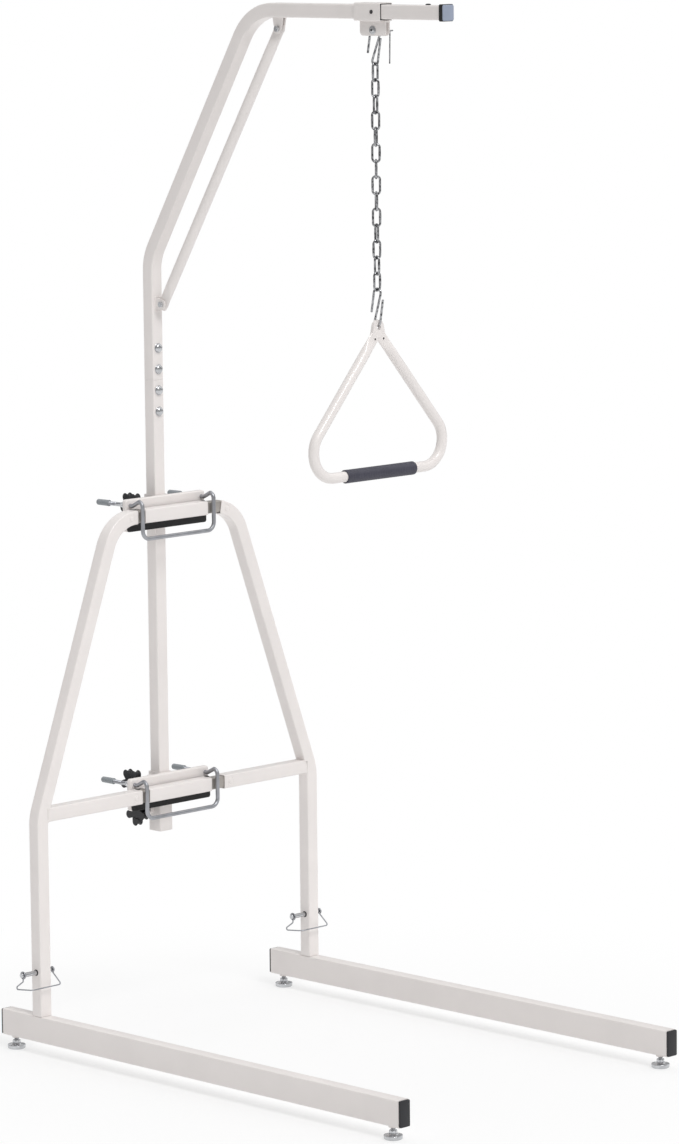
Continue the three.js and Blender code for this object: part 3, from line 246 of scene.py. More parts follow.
def route(corners, radii, steps=12):
    """Points and tangents of a line through corners, each rounded by an arc of its radius: the arc starts
    radius * tan(half the turn) before the corner, and its tangent turns evenly from one leg to the next."""
    corners = np.array(corners, float)
    legs = unit(np.diff(corners, axis=0))
    points, tangents = [corners[:1]], [legs[:1]]
    for corner, before, after, radius in zip(corners[1:-1], legs[:-1], legs[1:], radii):
        turn = math.acos(np.clip(before @ after, -1, 1))
        inward = unit(after - before * (before @ after))
        start = corner - before * radius * math.tan(turn / 2)
        angle = np.linspace(0, turn, steps + 1)[:, None]
        points.append(start + radius * (np.sin(angle) * before + (1 - np.cos(angle)) * inward))
        tangents.append(np.cos(angle) * before + np.sin(angle) * inward)
    points.append(corners[-1:])
    tangents.append(legs[-1:])
    return np.concatenate(points), np.concatenate(tangents)


def straight(start, end):
    """Points and tangents of a straight route."""
    points = np.array([start, end], float)
    return points, np.repeat(unit(points[1:] - points[:1]), 2, 0)


def carry(section, points, tangents, towards):
    """Grid of a section carried along a route: each section point (a, b) lies at
    point + a * (tangent x towards) + b * (tangent x (tangent x towards)), with unit vectors."""
    across = unit(np.cross(tangents, towards))
    beside = np.cross(tangents, across)
    section = np.broadcast_to(section, (len(points),) + np.shape(section)[-2:])
    return points[:, None] + section[..., :1] * across[:, None] + section[..., 1:] * beside[:, None]


def ellipse(half_width, half_height, count=FINE):
    angle = np.linspace(0, 2 * np.pi, count, endpoint=False)
    return np.stack([half_width * np.cos(angle), half_height * np.sin(angle)], -1)


def circle(radius, count=FINE):
    return ellipse(radius, radius, count)


def rounded_box(width, height, corner, steps=6):
    """Outline of a box with quarter-circle corners, counter-clockwise."""
    angle = np.linspace(0, np.pi / 2, steps + 1)[None] + np.arange(4)[:, None] * np.pi / 2
    signs = np.array([[1, 1], [-1, 1], [-1, -1], [1, -1]])
    centres = signs * [width / 2 - corner, height / 2 - corner]
    arc = np.stack([np.cos(angle), np.sin(angle)], -1) * corner
    return (centres[:, None] + arc).reshape(-1, 2)


def box_tube(width, height, wall, corner, points, tangents, towards):
    """Hollow box tube: its outer section carried forwards and its inner one back, as one closed loop."""
    outer = carry(rounded_box(width, height, corner), points, tangents, towards)
    inside = rounded_box(width - 2 * wall, height - 2 * wall, max(corner - wall, wall / 4))
    inner = carry(inside, points, tangents, towards)
    return shell(np.concatenate([outer, inner[::-1]]), loop=True)


def square_tube(tubes, points, tangents, towards):
    """Length of the square tube that the stand is made of."""
    return box_tube(tubes.side, tubes.side, tubes.wall, tubes.corner, points, tangents, towards)


def inner_tube(tubes, start, end, towards):
    """Straight length of the smaller tube that fits inside the square tube."""
    return box_tube(tubes.spigot, tubes.spigot, tubes.wall, tubes.corner, *straight(start, end), towards)


def sleeve_wall(context):
    """Wall that leaves the square tube its play inside a sleeve."""
    return (context.scene.trapeze_clamps.sleeve - context.scene.trapeze_tubes.side - PLAY) / 2


def wire(radius, points, tangents, towards=SKEW, count=FINE):
    return shell(carry(circle(radius, count), points, tangents, towards))


def turned_grid(profile, place, axis, count):
    """Grid of a profile of (radius, distance) pairs turned about an axis through a place."""
    profile = np.array(profile, float)
    points = np.array(place) + profile[:, 1:] * axis
    sections = profile[:, :1, None] * circle(1, count)
    tangents = np.repeat(np.array(axis, float)[None], len(profile), 0)
    return carry(sections, points, tangents, aside(axis))


def turned(profile, place, axis, count=FINE):
    """Solid turned piece, closed by a flat face at each end of its profile."""
    return shell(turned_grid(profile, place, axis, count))


def pipe(profile, bore, place, axis, count=FINE):
    """Turned piece with a plain bore: the profile forwards on the outside and back along the bore."""
    profile = np.array(profile, float)
    back = np.stack([np.full(2, bore), profile[[-1, 0], 1]], -1)
    return shell(turned_grid(np.concatenate([profile, back]), place, axis, count), loop=True)


def edge_rounded(start, end, radius, edge, steps=4):
    """Profile of a turned bar whose two rims are quarter circles."""
    angle = np.linspace(0, np.pi / 2, steps + 1)
    rim = np.stack([radius - edge + edge * np.sin(angle), start + edge - edge * np.cos(angle)], -1)
    far = np.stack([rim[::-1, 0], end - (rim[::-1, 1] - start)], -1)
    return np.concatenate([rim, far])


def dome(radius, rise, start=0.0, steps=8):
    """Profile of a dome: radius * cos(a) at rise * sin(a), stopped just short of its pole."""
    last_share = 0.97
    angle = np.linspace(0, np.pi / 2 * last_share, steps + 1)
    return np.stack([radius * np.cos(angle), start + rise * np.sin(angle)], -1)


def domed(radius, rise, start, foot):
    """Profile of a domed head: a plain foot, given as its points, and the dome that stands on it."""
    return np.concatenate([foot, dome(radius, rise, start)])


def inset(outline, distance):
    """Outline moved inwards: each point goes against the mean of its two edges' outward normals."""
    edges = np.roll(outline, -1, 0) - outline
    normals = unit(np.stack([edges[:, 1], -edges[:, 0]], -1))
    return outline - unit(normals + np.roll(normals, 1, 0)) * distance


def slab(outline, start, end, edge, axis, place, up, steps=3):
    """Outline given a thickness along an axis, its rims rounded: at a distance d from a face it is inset
    by edge - sqrt(edge^2 - (edge - d)^2)."""
    angle = np.linspace(0, np.pi / 2, steps + 1)
    levels = edge * (1 - np.cos(angle))
    rows = [inset(outline, amount) for amount in edge * (1 - np.sin(angle))]
    rows = np.array(rows + rows[::-1])
    along = np.concatenate([start + levels, end - levels[::-1]])
    side = np.cross(up, axis)
    return shell(np.array(place) + rows[..., :1] * side + rows[..., 1:] * up + along[:, None, None] * axis)


def hexagon(flats, count):
    """Outline of a hexagon over its flats, with so many points to an edge."""
    angle = np.arange(7) * np.pi / 3
    corners = np.stack([np.cos(angle), np.sin(angle)], -1) * flats / math.sqrt(3)
    share = np.linspace(0, 1, count, endpoint=False)[:, None]
    return (corners[:-1, None] * (1 - share) + corners[1:, None] * share).reshape(-1, 2)


def nut(flats, start, end, place, axis):
    """Hexagonal nut: over a share of its thickness at both faces the hexagon's corners are cut back to a
    circle."""
    cut_share = 0.16
    outline = hexagon(flats, 6)
    cut = outline * np.minimum(1, flats / 2 / np.linalg.norm(outline, axis=1, keepdims=True))
    depth = (end - start) * cut_share
    along = np.array([start, start + depth, end - depth, end])
    rows = np.array([cut, outline, outline, cut])
    up = aside(axis)
    side = np.cross(up, axis)
    return shell(np.array(place) + rows[..., :1] * side + rows[..., 1:] * up + along[:, None, None] * axis)


def threaded(radius, depth, pitch, start, end, place, axis):
    """Screw thread: radius less depth times a rounded wave that moves one pitch along for each turn, and
    that runs out over the last pitch."""
    rows_a_turn, count = 6, 20
    distance = np.linspace(start, end, int((end - start) / pitch * rows_a_turn))[:, None]
    angle = np.linspace(0, 2 * np.pi, count, endpoint=False)[None]
    fade = np.clip((end - distance) / pitch, 0, 1)
    wave = 0.5 - 0.5 * np.cos(2 * np.pi * distance / pitch - angle)
    reach = radius - depth * wave - (1 - fade) * depth
    across = unit(np.cross(axis, aside(axis)))
    beside = np.cross(axis, across)
    around_axis = (reach * np.cos(angle))[..., None] * across + (reach * np.sin(angle))[..., None] * beside
    return shell(np.array(place) + distance[..., None] * axis + around_axis)


def weld(points, radius, ripple=0.0022):
    """Weld bead: a closed loop of points carries a circle whose radius swells and shrinks along it, once
    for each ripple."""
    swell_share, step, least, count = 0.16, 0.0011, 24, 10
    points = np.array(points)
    gaps = np.linalg.norm(np.roll(points, -1, 0) - points, axis=1)
    run = np.concatenate([[0], np.cumsum(gaps)])
    stops = max(least, int(run[-1] / step))
    at = np.linspace(0, run[-1], stops, endpoint=False)
    closed = np.concatenate([points, points[:1]])
    smooth = np.stack([np.interp(at, run, closed[:, k]) for k in range(3)], -1)
    tangents = unit(np.roll(smooth, -1, 0) - np.roll(smooth, 1, 0))
    normal = unit(np.cross(smooth[0] - smooth[stops // 3], smooth[0] - smooth[2 * stops // 3]))
    size = radius * (1 + swell_share * np.sin(at * 2 * np.pi / ripple))
    return shell(carry(size[:, None, None] * circle(1, count), smooth, tangents, normal), loop=True)


def laid_round(section, place, axis, up):
    """Section points laid round a place in the plane square to an axis, for a weld round a tube."""
    return np.array(place) + section[:, :1] * np.cross(up, axis) + section[:, 1:] * up


# Finishes


# Material's name, metallic share, roughness and how far it spreads, scale of the mottle and shade of its
# dark parts, scale and relief of the grain. The keys are the names of the colour settings.
FINISHES = {
    "enamel": ("cream enamel", 0.0, 0.34, 0.06, 14.0, 0.97, 600.0, 0.00001),
    "zinc": ("bright zinc", 1.0, 0.22, 0.08, 60.0, 0.82, 1500.0, 0.00002),
    # chain steel: the broad noise darkens it to a fifth, a painted reflection on its zinc
    "links": ("chain steel", 1.0, 0.25, 0.08, 240.0, 0.2, 1500.0, 0.00002),
    "steel": ("grey steel", 0.9, 0.36, 0.09, 50.0, 0.8, 1800.0, 0.00002),
    "bare": ("bare steel", 0.6, 0.38, 0.08, 40.0, 0.85, 1400.0, 0.00002),
    "plastic": ("black plastic", 0.0, 0.42, 0.06, 40.0, 0.8, 2500.0, 0.00008),
    "rubber": ("black rubber", 0.0, 0.62, 0.06, 30.0, 0.75, 3000.0, 0.0001),
    # grip rubber: its lighter, bluer colour is a painted sheen on dark rubber
    "grip": ("grip rubber", 0.0, 0.55, 0.06, 30.0, 0.85, 3000.0, 0.0001),
    "vinyl": ("grey vinyl", 0.0, 0.5, 0.06, 35.0, 0.9, 1200.0, 0.00004),
    "blue_vinyl": ("blue vinyl", 0.0, 0.45, 0.06, 35.0, 0.92, 1200.0, 0.00004),
}
COATS = {"enamel": 0.25}  # clear coat, none on the other finishes
USUAL_BAND = (0.3, 0.62)  # part of the broad noise over which dark turns into full colour
# narrow band on the chain steel, so that its painted reflection falls into sharp dark and bright patches
BANDS = {"links": (0.36, 0.58)}


def new_node(tree, kind, sources=(), values=()):
    """Node of a tree, with the outputs that feed its inputs and the values of its other inputs."""
    made = tree.nodes.new(f"ShaderNode{kind}")
    for socket, source in sources:
        tree.links.new(source, made.inputs[socket])
    for socket, value in values:
        made.inputs[socket].default_value = value
    return made


def finish(key):
    """Procedural finish: broad noise shades the colour, noise nine times finer spreads the roughness, and
    a fine grain lifts the surface by its relief. Kept under its name, and made once."""
    name, metallic, roughness, spread, mottle, shade, grain, relief = FINISHES[key]
    if name in bpy.data.materials:
        return bpy.data.materials[name]
    colour = getattr(bpy.context.scene.trapeze_colours, key)
    material = bpy.data.materials.new(name)
    material.use_nodes = True
    tree = material.node_tree
    place = new_node(tree, "TexCoord").outputs["Object"]

    def noise(scale, detail):
        made = new_node(tree, "TexNoise", [("Vector", place)], [("Scale", scale), ("Detail", detail)])
        return made.outputs["Fac"]

    # On the chain steel the dark parts of this mottle are painted reflection
    ramp = new_node(tree, "ValToRGB", [("Fac", noise(mottle, 5))])
    dark, full = ramp.color_ramp.elements
    dark.position, full.position = BANDS.get(key, USUAL_BAND)
    dark.color = (*[part * shade for part in colour], 1)
    full.color = (*colour, 1)
    spreader = new_node(tree, "MapRange", [("Value", noise(mottle * 9, 6))],
                        [("To Min", roughness - spread), ("To Max", roughness + spread)])
    bump = new_node(tree, "Bump", [("Height", noise(grain, 2))], [("Strength", 0.5), ("Distance", relief)])
    shader = tree.nodes["Principled BSDF"]
    shader.inputs["Metallic"].default_value = metallic
    shader.inputs["Coat Weight"].default_value = COATS.get(key, 0.0)
    tree.links.new(ramp.outputs["Color"], shader.inputs["Base Color"])
    tree.links.new(spreader.outputs["Result"], shader.inputs["Roughness"])
    tree.links.new(bump.outputs["Normal"], shader.inputs["Normal"])
    return material


def piece(name, parts, look, body, nodes=()):
    """One object from closed surfaces, with sharp edges where its faces meet steeply."""
    starts = np.cumsum([0] + [len(points) for points, _ in parts])
    points = np.concatenate([points for points, _ in parts])
    faces = [[index + start for index in face] for start, (_, part) in zip(starts, parts) for face in part]
    mesh = bpy.data.meshes.new(name)
    mesh.from_pydata(points, [], faces)
    mesh.polygons.foreach_set("use_smooth", np.ones(len(faces), bool))
    mesh.set_sharp_from_angle(angle=SHARP)
    mesh.materials.append(finish(look))
    made = bpy.data.objects.new(name, mesh)
    bpy.context.scene.collection.objects.link(made)
    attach(made, body)
    if nodes:
        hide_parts(*nodes)
    return made


def finished(node, parts, look, body):
    """The piece that stands for a node of the frame."""
    return piece(f"{node}_finished", parts, look, body, [node])


# Operators


class TRAPEZE_OT_stage(bpy.types.Operator):
    """Camera, pale floor, world and studio lamps"""

    bl_idname = "trapeze.stage"
    bl_label = "Stage"

    def execute(self, context):
        self.camera(context.scene)
        self.floor(context.scene)
        self.lamps(context.scene)
        self.world(context.scene)
        context.scene.view_settings.view_transform = "Standard"
        return {"FINISHED"}

    def camera(self, scene):
        """Camera that sees the stand as the photograph shows it."""
        azimuth, elevation, roll = (math.radians(angle) for angle in (-44.946, 8.0746, -0.5933))
        from_legs = [-6.1211, -6.1559, 2.1193]
        lens, sensor, far_limit = 154.53, 36, 60
        flat = math.cos(elevation)
        back = np.array([math.sin(azimuth) * flat, -math.cos(azimuth) * flat, math.sin(elevation)])
        level = np.array([math.cos(azimuth), math.sin(azimuth), 0])
        rise = np.cross(back, level)
        right = level * math.cos(roll) + rise * math.sin(roll)
        up = rise * math.cos(roll) - level * math.sin(roll)
        legs = (low("floor_leg_left") + high("floor_leg_right")) / 2
        place = Matrix.Translation(Vector(legs * [1, 1, 0] + from_legs))
        camera = bpy.data.objects.new("camera", bpy.data.cameras.new("camera"))
        camera.data.sensor_fit = "VERTICAL"
        camera.data.sensor_height = sensor
        camera.data.lens = lens
        camera.data.clip_end = far_limit
        camera.matrix_world = place @ Matrix(np.stack([right, up, back], 1)).to_4x4()
        scene.collection.objects.link(camera)
        scene.camera = camera

    def floor(self, scene):
        """Large square just below the soles of the feet."""
        reach, drop = 14.0, 0.0004
        mesh = bpy.data.meshes.new("floor")
        square = np.array([[-1, -1, 0], [1, -1, 0], [1, 1, 0], [-1, 1, 0]]) * reach - drop * Z
        mesh.from_pydata(square, [], [[0, 1, 2, 3]])
        floor = bpy.data.objects.new("floor", mesh)
        scene.collection.objects.link(floor)
        mesh.materials.append(self.floor_material(scene.trapeze_colours.floor))

    def floor_material(self, colour):
        """Pale floor that keeps the shadow: away from the stand it fades into white, for the camera and in
        reflections only."""
        fade_start, fade_end, least_white = 0.3, 1.3, 0.55
        material = bpy.data.materials.new("pale floor")
        material.use_nodes = True
        tree = material.node_tree
        shader = tree.nodes["Principled BSDF"]
        shader.inputs["Roughness"].default_value = 0.9
        shader.inputs["Specular IOR Level"].default_value = 0.1
        shader.inputs["Base Color"].default_value = (*colour, 1)
        distance = new_node(tree, "VectorMath", [(0, new_node(tree, "TexCoord").outputs["Object"])])
        distance.operation = "LENGTH"
        fade = new_node(tree, "MapRange", [("Value", distance.outputs["Value"])],
                        [("From Min", fade_start), ("From Max", fade_end), ("To Min", least_white)])
        fade.interpolation_type = "SMOOTHSTEP"
        path = new_node(tree, "LightPath").outputs
        seen = new_node(tree, "Math", [(0, path["Is Camera Ray"]), (1, path["Is Glossy Ray"])])
        seen.operation = "MAXIMUM"
        share = new_node(tree, "Math", [(0, fade.outputs["Result"]), (1, seen.outputs["Value"])])
        share.operation = "MULTIPLY"
        pale, white = shader.outputs["BSDF"], new_node(tree, "Emission").outputs["Emission"]
        mix = new_node(tree, "MixShader", [(0, share.outputs["Value"]), (1, pale), (2, white)])
        tree.links.new(mix.outputs["Shader"], tree.nodes["Material Output"].inputs["Surface"])
        return material

    def lamps(self, scene):
        """Soft suns: each has the direction that it shines from, its power and its spread in degrees."""
        rows = [("key", (-0.19, -0.68, 0.78), 1.3, 22), ("fill", (0.8, -0.1, 0.6), 0.45, 60),
                ("back", (0.2, 0.8, 0.6), 0.35, 60), ("top", (0.05, -0.1, 1), 0.62, 60)]
        for name, direction, power, spread in rows:
            lamp = bpy.data.lights.new(name, "SUN")
            lamp.energy = power
            lamp.angle = math.radians(spread)
            made = bpy.data.objects.new(name, lamp)
            made.matrix_world = Vector(direction).to_track_quat("Z", "Y").to_matrix().to_4x4()
            scene.collection.objects.link(made)

    def world(self, scene):
        """White world: full strength for the camera, and softer as a light."""
        light_strength, seen_strength = 0.4, 1.0
        world = bpy.data.worlds.new("studio")
        scene.world = world
        world.use_nodes = True
        tree = world.node_tree
        soft, seen = tree.nodes["Background"], new_node(tree, "Background")
        for shader, strength in ((soft, light_strength), (seen, seen_strength)):
            shader.inputs["Color"].default_value = (1, 1, 1, 1)
            shader.inputs["Strength"].default_value = strength
        camera_ray = new_node(tree, "LightPath").outputs["Is Camera Ray"]
        mix = new_node(tree, "MixShader", [(0, camera_ray), (1, soft.outputs[0]), (2, seen.outputs[0])])
        tree.links.new(mix.outputs["Shader"], tree.nodes["World Output"].inputs["Surface"])


class TRAPEZE_OT_base(bpy.types.Operator):
    """Floor legs with their post stubs, end plugs and levelling feet"""

    bl_idname = "trapeze.base"
    bl_label = "Base"

    def execute(self, context):
        tubes = context.scene.trapeze_tubes
        for side in SIDES:
            self.leg(tubes, side)
            for end in ENDS:
                self.plug(tubes, side, end)
                self.foot(side, end)
        return {"FINISHED"}

    def leg(self, tubes, side):
        """Tube along Y, taller than wide, with the stub inside a post and a boss for each foot."""
        bore, sunk, seam = 0.0046, 0.0005, 0.0009
        node = f"floor_leg_{side}"
        first, last = low(node), high(node)
        x = middle(node)[0]
        bottom = first[2] + tubes.boss_height
        level, top = bottom + tubes.leg_height / 2, bottom + tubes.leg_height
        run = straight((x, first[1], level), (x, last[1], level))
        parts = [box_tube(tubes.side, tubes.leg_height, tubes.wall, tubes.corner, *run, Z),
                 inner_tube(tubes, (x, POST_Y, top - tubes.wall / 2), (x, POST_Y, last[2]), X)]
        for end in ENDS:
            spot = (x, middle(f"levelling_foot_{side}_{end}")[1], bottom)
            boss = [(tubes.boss_radius, -tubes.boss_height), (tubes.boss_radius, sunk)]
            parts.append(pipe(boss, bore, spot, Z))
            parts.append(weld(laid_round(circle(tubes.boss_radius, SEAM), spot, Z, X), seam))
        finished(node, parts, "enamel", "root")

    def plug(self, tubes, side, end):
        """Flange over a leg's open end, and the skirt that holds it inside the tube."""
        rise, thickness, rim = 0.0008, 0.003, 0.0006
        reach, overlap, narrower, skirt_corner = 0.015, 0.0002, 0.0022, 0.0012
        node = f"leg_plug_{side}_{end}"
        outward, face = (-Y, low(node)[1]) if end == "front" else (Y, high(node)[1])
        place = middle(node)
        place[1] = face
        width, _, height = span(node)
        flange = slab(rounded_box(width, height, tubes.corner), -thickness, rise, rim, outward, place, Z)
        outline = rounded_box(width - narrower, height - narrower, skirt_corner)
        skirt = slab(outline, -reach, overlap - thickness, rim, outward, place, Z)
        finished(node, [flange, skirt], "plastic", "root")

    def foot(self, side, end):
        """Round foot with an upright rim and a low cone, its lock nut and its stud."""
        rim, rim_height = 0.0012, 0.0062
        flats, nut_foot, nut_top = 0.013, 0.0094, 0.0155
        stud, thread_depth, pitch, stud_foot = 0.00425, 0.0006, 0.00125, 0.0112
        node = f"levelling_foot_{side}_{end}"
        place = middle(node) * [1, 1, 0]
        radius = span(node)[0] / 2
        angle = np.linspace(0, np.pi / 2, 7)
        sole = [(0.004, 0), (radius - 0.0016, 0), (radius - 0.0004, rim)]
        edge = np.stack([radius - rim + rim * np.cos(angle), rim_height + rim * np.sin(angle)], -1)
        cone = [(0.0105, 0.0082), (0.0085, 0.0088), (0.0076, 0.0096), (0.0045, 0.01)]
        parts = [turned(np.concatenate([sole, edge, cone]), place, Z, ROUND),
                 nut(flats, nut_foot, nut_top, place, Z),
                 threaded(stud, thread_depth, pitch, stud_foot, high(node)[2], place, Z)]
        finished(node, parts, "zinc", f"foot_{side}_{end}")


class TRAPEZE_OT_side_frames(bpy.types.Operator):
    """Bent side frames, crossbar links, lock pins and their wire keepers"""

    bl_idname = "trapeze.side_frames"
    bl_label = "Side frames"

    def execute(self, context):
        tubes = context.scene.trapeze_tubes
        for side, sign in SIDES.items():
            self.side_frame(tubes, side, sign)
            self.pin(tubes, side)
            self.keeper(side)
        self.crossbar_links(tubes)
        return {"FINISHED"}

    def side_frame(self, tubes, side, sign):
        """Bent tube of post and upper crossbar, the welded tube of the lower crossbar with its buttons, and
        the slimmer neck that enters the upper link."""
        seam = 0.0016
        node = f"side_frame_{side}"
        post = middle(f"floor_leg_{side}")[0]
        end = tubes.left_end if side == "left" else tubes.right_end
        upper, lower = BARS["upper"], BARS["lower"]
        corners = [(post, POST_Y, low(node)[2]), (post, POST_Y, tubes.lower_bend),
                   (MAST_X + sign * tubes.shoulder, POST_Y, upper),
                   (MAST_X + sign * tubes.link_half, POST_Y, upper)]
        bent = self.shortened(*route(corners, [tubes.lower_radius, tubes.upper_radius], 20), end)
        root = (post - sign * (tubes.side / 2 - tubes.wall / 2), POST_Y, lower)
        face = (post - sign * tubes.side / 2, POST_Y, lower)
        around = laid_round(rounded_box(tubes.side, tubes.side, tubes.corner), face, X, Z)
        parts = [square_tube(tubes, *bent, Y),
                 square_tube(tubes, *straight(root, (MAST_X + sign * end, POST_Y, lower)), Y),
                 weld(around, seam), *self.buttons(tubes, post, sign, end)]
        finished(node, parts, "enamel", "root")
        inside, outside = tubes.link_half - tubes.spigot_reach, tubes.neck_root
        neck = inner_tube(tubes, *[(MAST_X + sign * out, POST_Y, upper) for out in (inside, outside)], Y)
        piece(f"{node}_neck", [neck], "bare", "root")

    def buttons(self, tubes, post, sign, end):
        """Spring button and the oval rim round it, on the front of each crossbar tube. The upper tube has
        begun to bend there: at a distance d into a bend of radius r it has dropped r - sqrt(r^2 - d^2)."""
        radius, rise, sunk, lift = 0.005, 0.001, 0.0008, 0.0002
        rim, rim_half, rim_long, no_ripple = 0.0003, 0.0064, 0.0092, 1.0
        bend = tubes.upper_radius
        out = end + tubes.button_inset
        slope = math.atan2(BARS["upper"] - tubes.lower_bend, abs(post - MAST_X) - tubes.shoulder)
        start = tubes.shoulder - bend * math.tan(slope / 2)
        drop = bend - math.sqrt(bend ** 2 - (out - start) ** 2)
        button = domed(radius, rise, lift, [(radius, -sunk), (radius, lift)])
        parts = []
        for height in (BARS["upper"] - drop, BARS["lower"]):
            spot = (MAST_X + sign * out, POST_Y - tubes.side / 2, height)
            parts.append(turned(button, spot, -Y))
            parts.append(weld(laid_round(ellipse(rim_half, rim_long, SEAM), spot, Y, Z), rim, no_ripple))
        return parts

    def shortened(self, points, tangents, end):
        """Route cut off where its distance from the stand's middle falls to the tube's end."""
        out = np.abs(points[:, 0] - MAST_X)
        last = int(np.argmax(out < end))
        share = (out[last - 1] - end) / (out[last - 1] - out[last])
        points[last] = points[last - 1] + (points[last] - points[last - 1]) * share
        tangents[last] = unit(tangents[last - 1] + (tangents[last] - tangents[last - 1]) * share)
        return points[:last + 1], tangents[:last + 1]

    def crossbar_links(self, tubes):
        """Middle tubes of both crossbars, and the inner tube that joins the lower one to its neighbours."""
        for level, height in BARS.items():
            ends = [(MAST_X + sign * tubes.link_half, POST_Y, height) for sign in SIDES.values()]
            tube = square_tube(tubes, *straight(*ends), Y)
            finished(f"crossbar_link_{level}", [tube], "enamel", "root")
        node = "crossbar_link_lower"
        ends = [(x, POST_Y, BARS["lower"]) for x in (low(node)[0], high(node)[0])]
        piece("crossbar_spigot", [inner_tube(tubes, *ends, Y)], "bare", "root")

    def pin(self, tubes, side):
        """Lock pin, thicker as far as the post's near wall, and black rings at the post's two holes: painted
        shade.
        """
        thick, thin, shank_start, step = 0.0043, 0.003, 0.004, 0.0002
        head_length, head_radius, head_edge = 0.009, 0.0046, 0.0009
        shade_ring_radius, rim_half = 0.0058, 0.0003
        node = f"lock_pin_{side}"
        place = middle(node)
        place[0] = low(node)[0]
        length = span(node)[0]
        wall = middle(f"floor_leg_{side}")[0] - tubes.side / 2 - place[0]
        shank = turned([(thick, shank_start), (thick, wall), (thin, wall + step), (thin, length - 0.003),
                        (0.0022, length - 0.0008), (0.0012, length)], place, X)
        head = turned(edge_rounded(0, head_length, head_radius, head_edge), place, X)
        finished(node, [shank, head], "zinc", "root")
        # Black rings at the post's walls: painted shade in the holes round the pin
        rim = [(shade_ring_radius, -rim_half), (shade_ring_radius, rim_half)]
        rims = [turned(rim, place + (wall + across) * X, X) for across in (0, tubes.side)]
        piece(f"{node}_holes", rims, "plastic", "root")

    def keeper(self, side):
        """Bent wire with a ring round the pin's head and one round its tip."""
        gauge, head_ring, tip_ring = 0.00125, 0.00615, 0.00455
        head_inset, tip_inset = 0.0045, 0.003
        node, pin = f"pin_keeper_{side}", f"lock_pin_{side}"
        y, z = middle(pin)[1:]
        near, far = low(pin)[0] + head_inset, high(pin)[0] - tip_inset
        corners = [(near, 0, -head_ring), (near, 0, -0.01175), (near, 0.026, -0.0296),
                   (near, -0.024, -0.024), (far, -0.024, -0.024), (far, 0, -tip_ring)]
        bends = [0.003, 0.003, 0.006, 0.006]
        loop = wire(gauge, *route(np.array(corners) + [0, y, z], bends, 8), count=BEAD)
        rings = [self.ring(radius, gauge, (x, y, z)) for radius, x in ((head_ring, near), (tip_ring, far))]
        finished(node, [loop, *rings], "steel", f"keeper_{side}")

    def ring(self, radius, gauge, place):
        """Ring of wire about the X axis through a place."""
        angle = np.linspace(0, 2 * np.pi, 36, endpoint=False)[:, None]
        points = np.array(place) + radius * (np.cos(angle) * Y + np.sin(angle) * Z)
        tangents = np.cos(angle) * Z - np.sin(angle) * Y
        return shell(carry(circle(gauge, BEAD), points, tangents, X), loop=True)


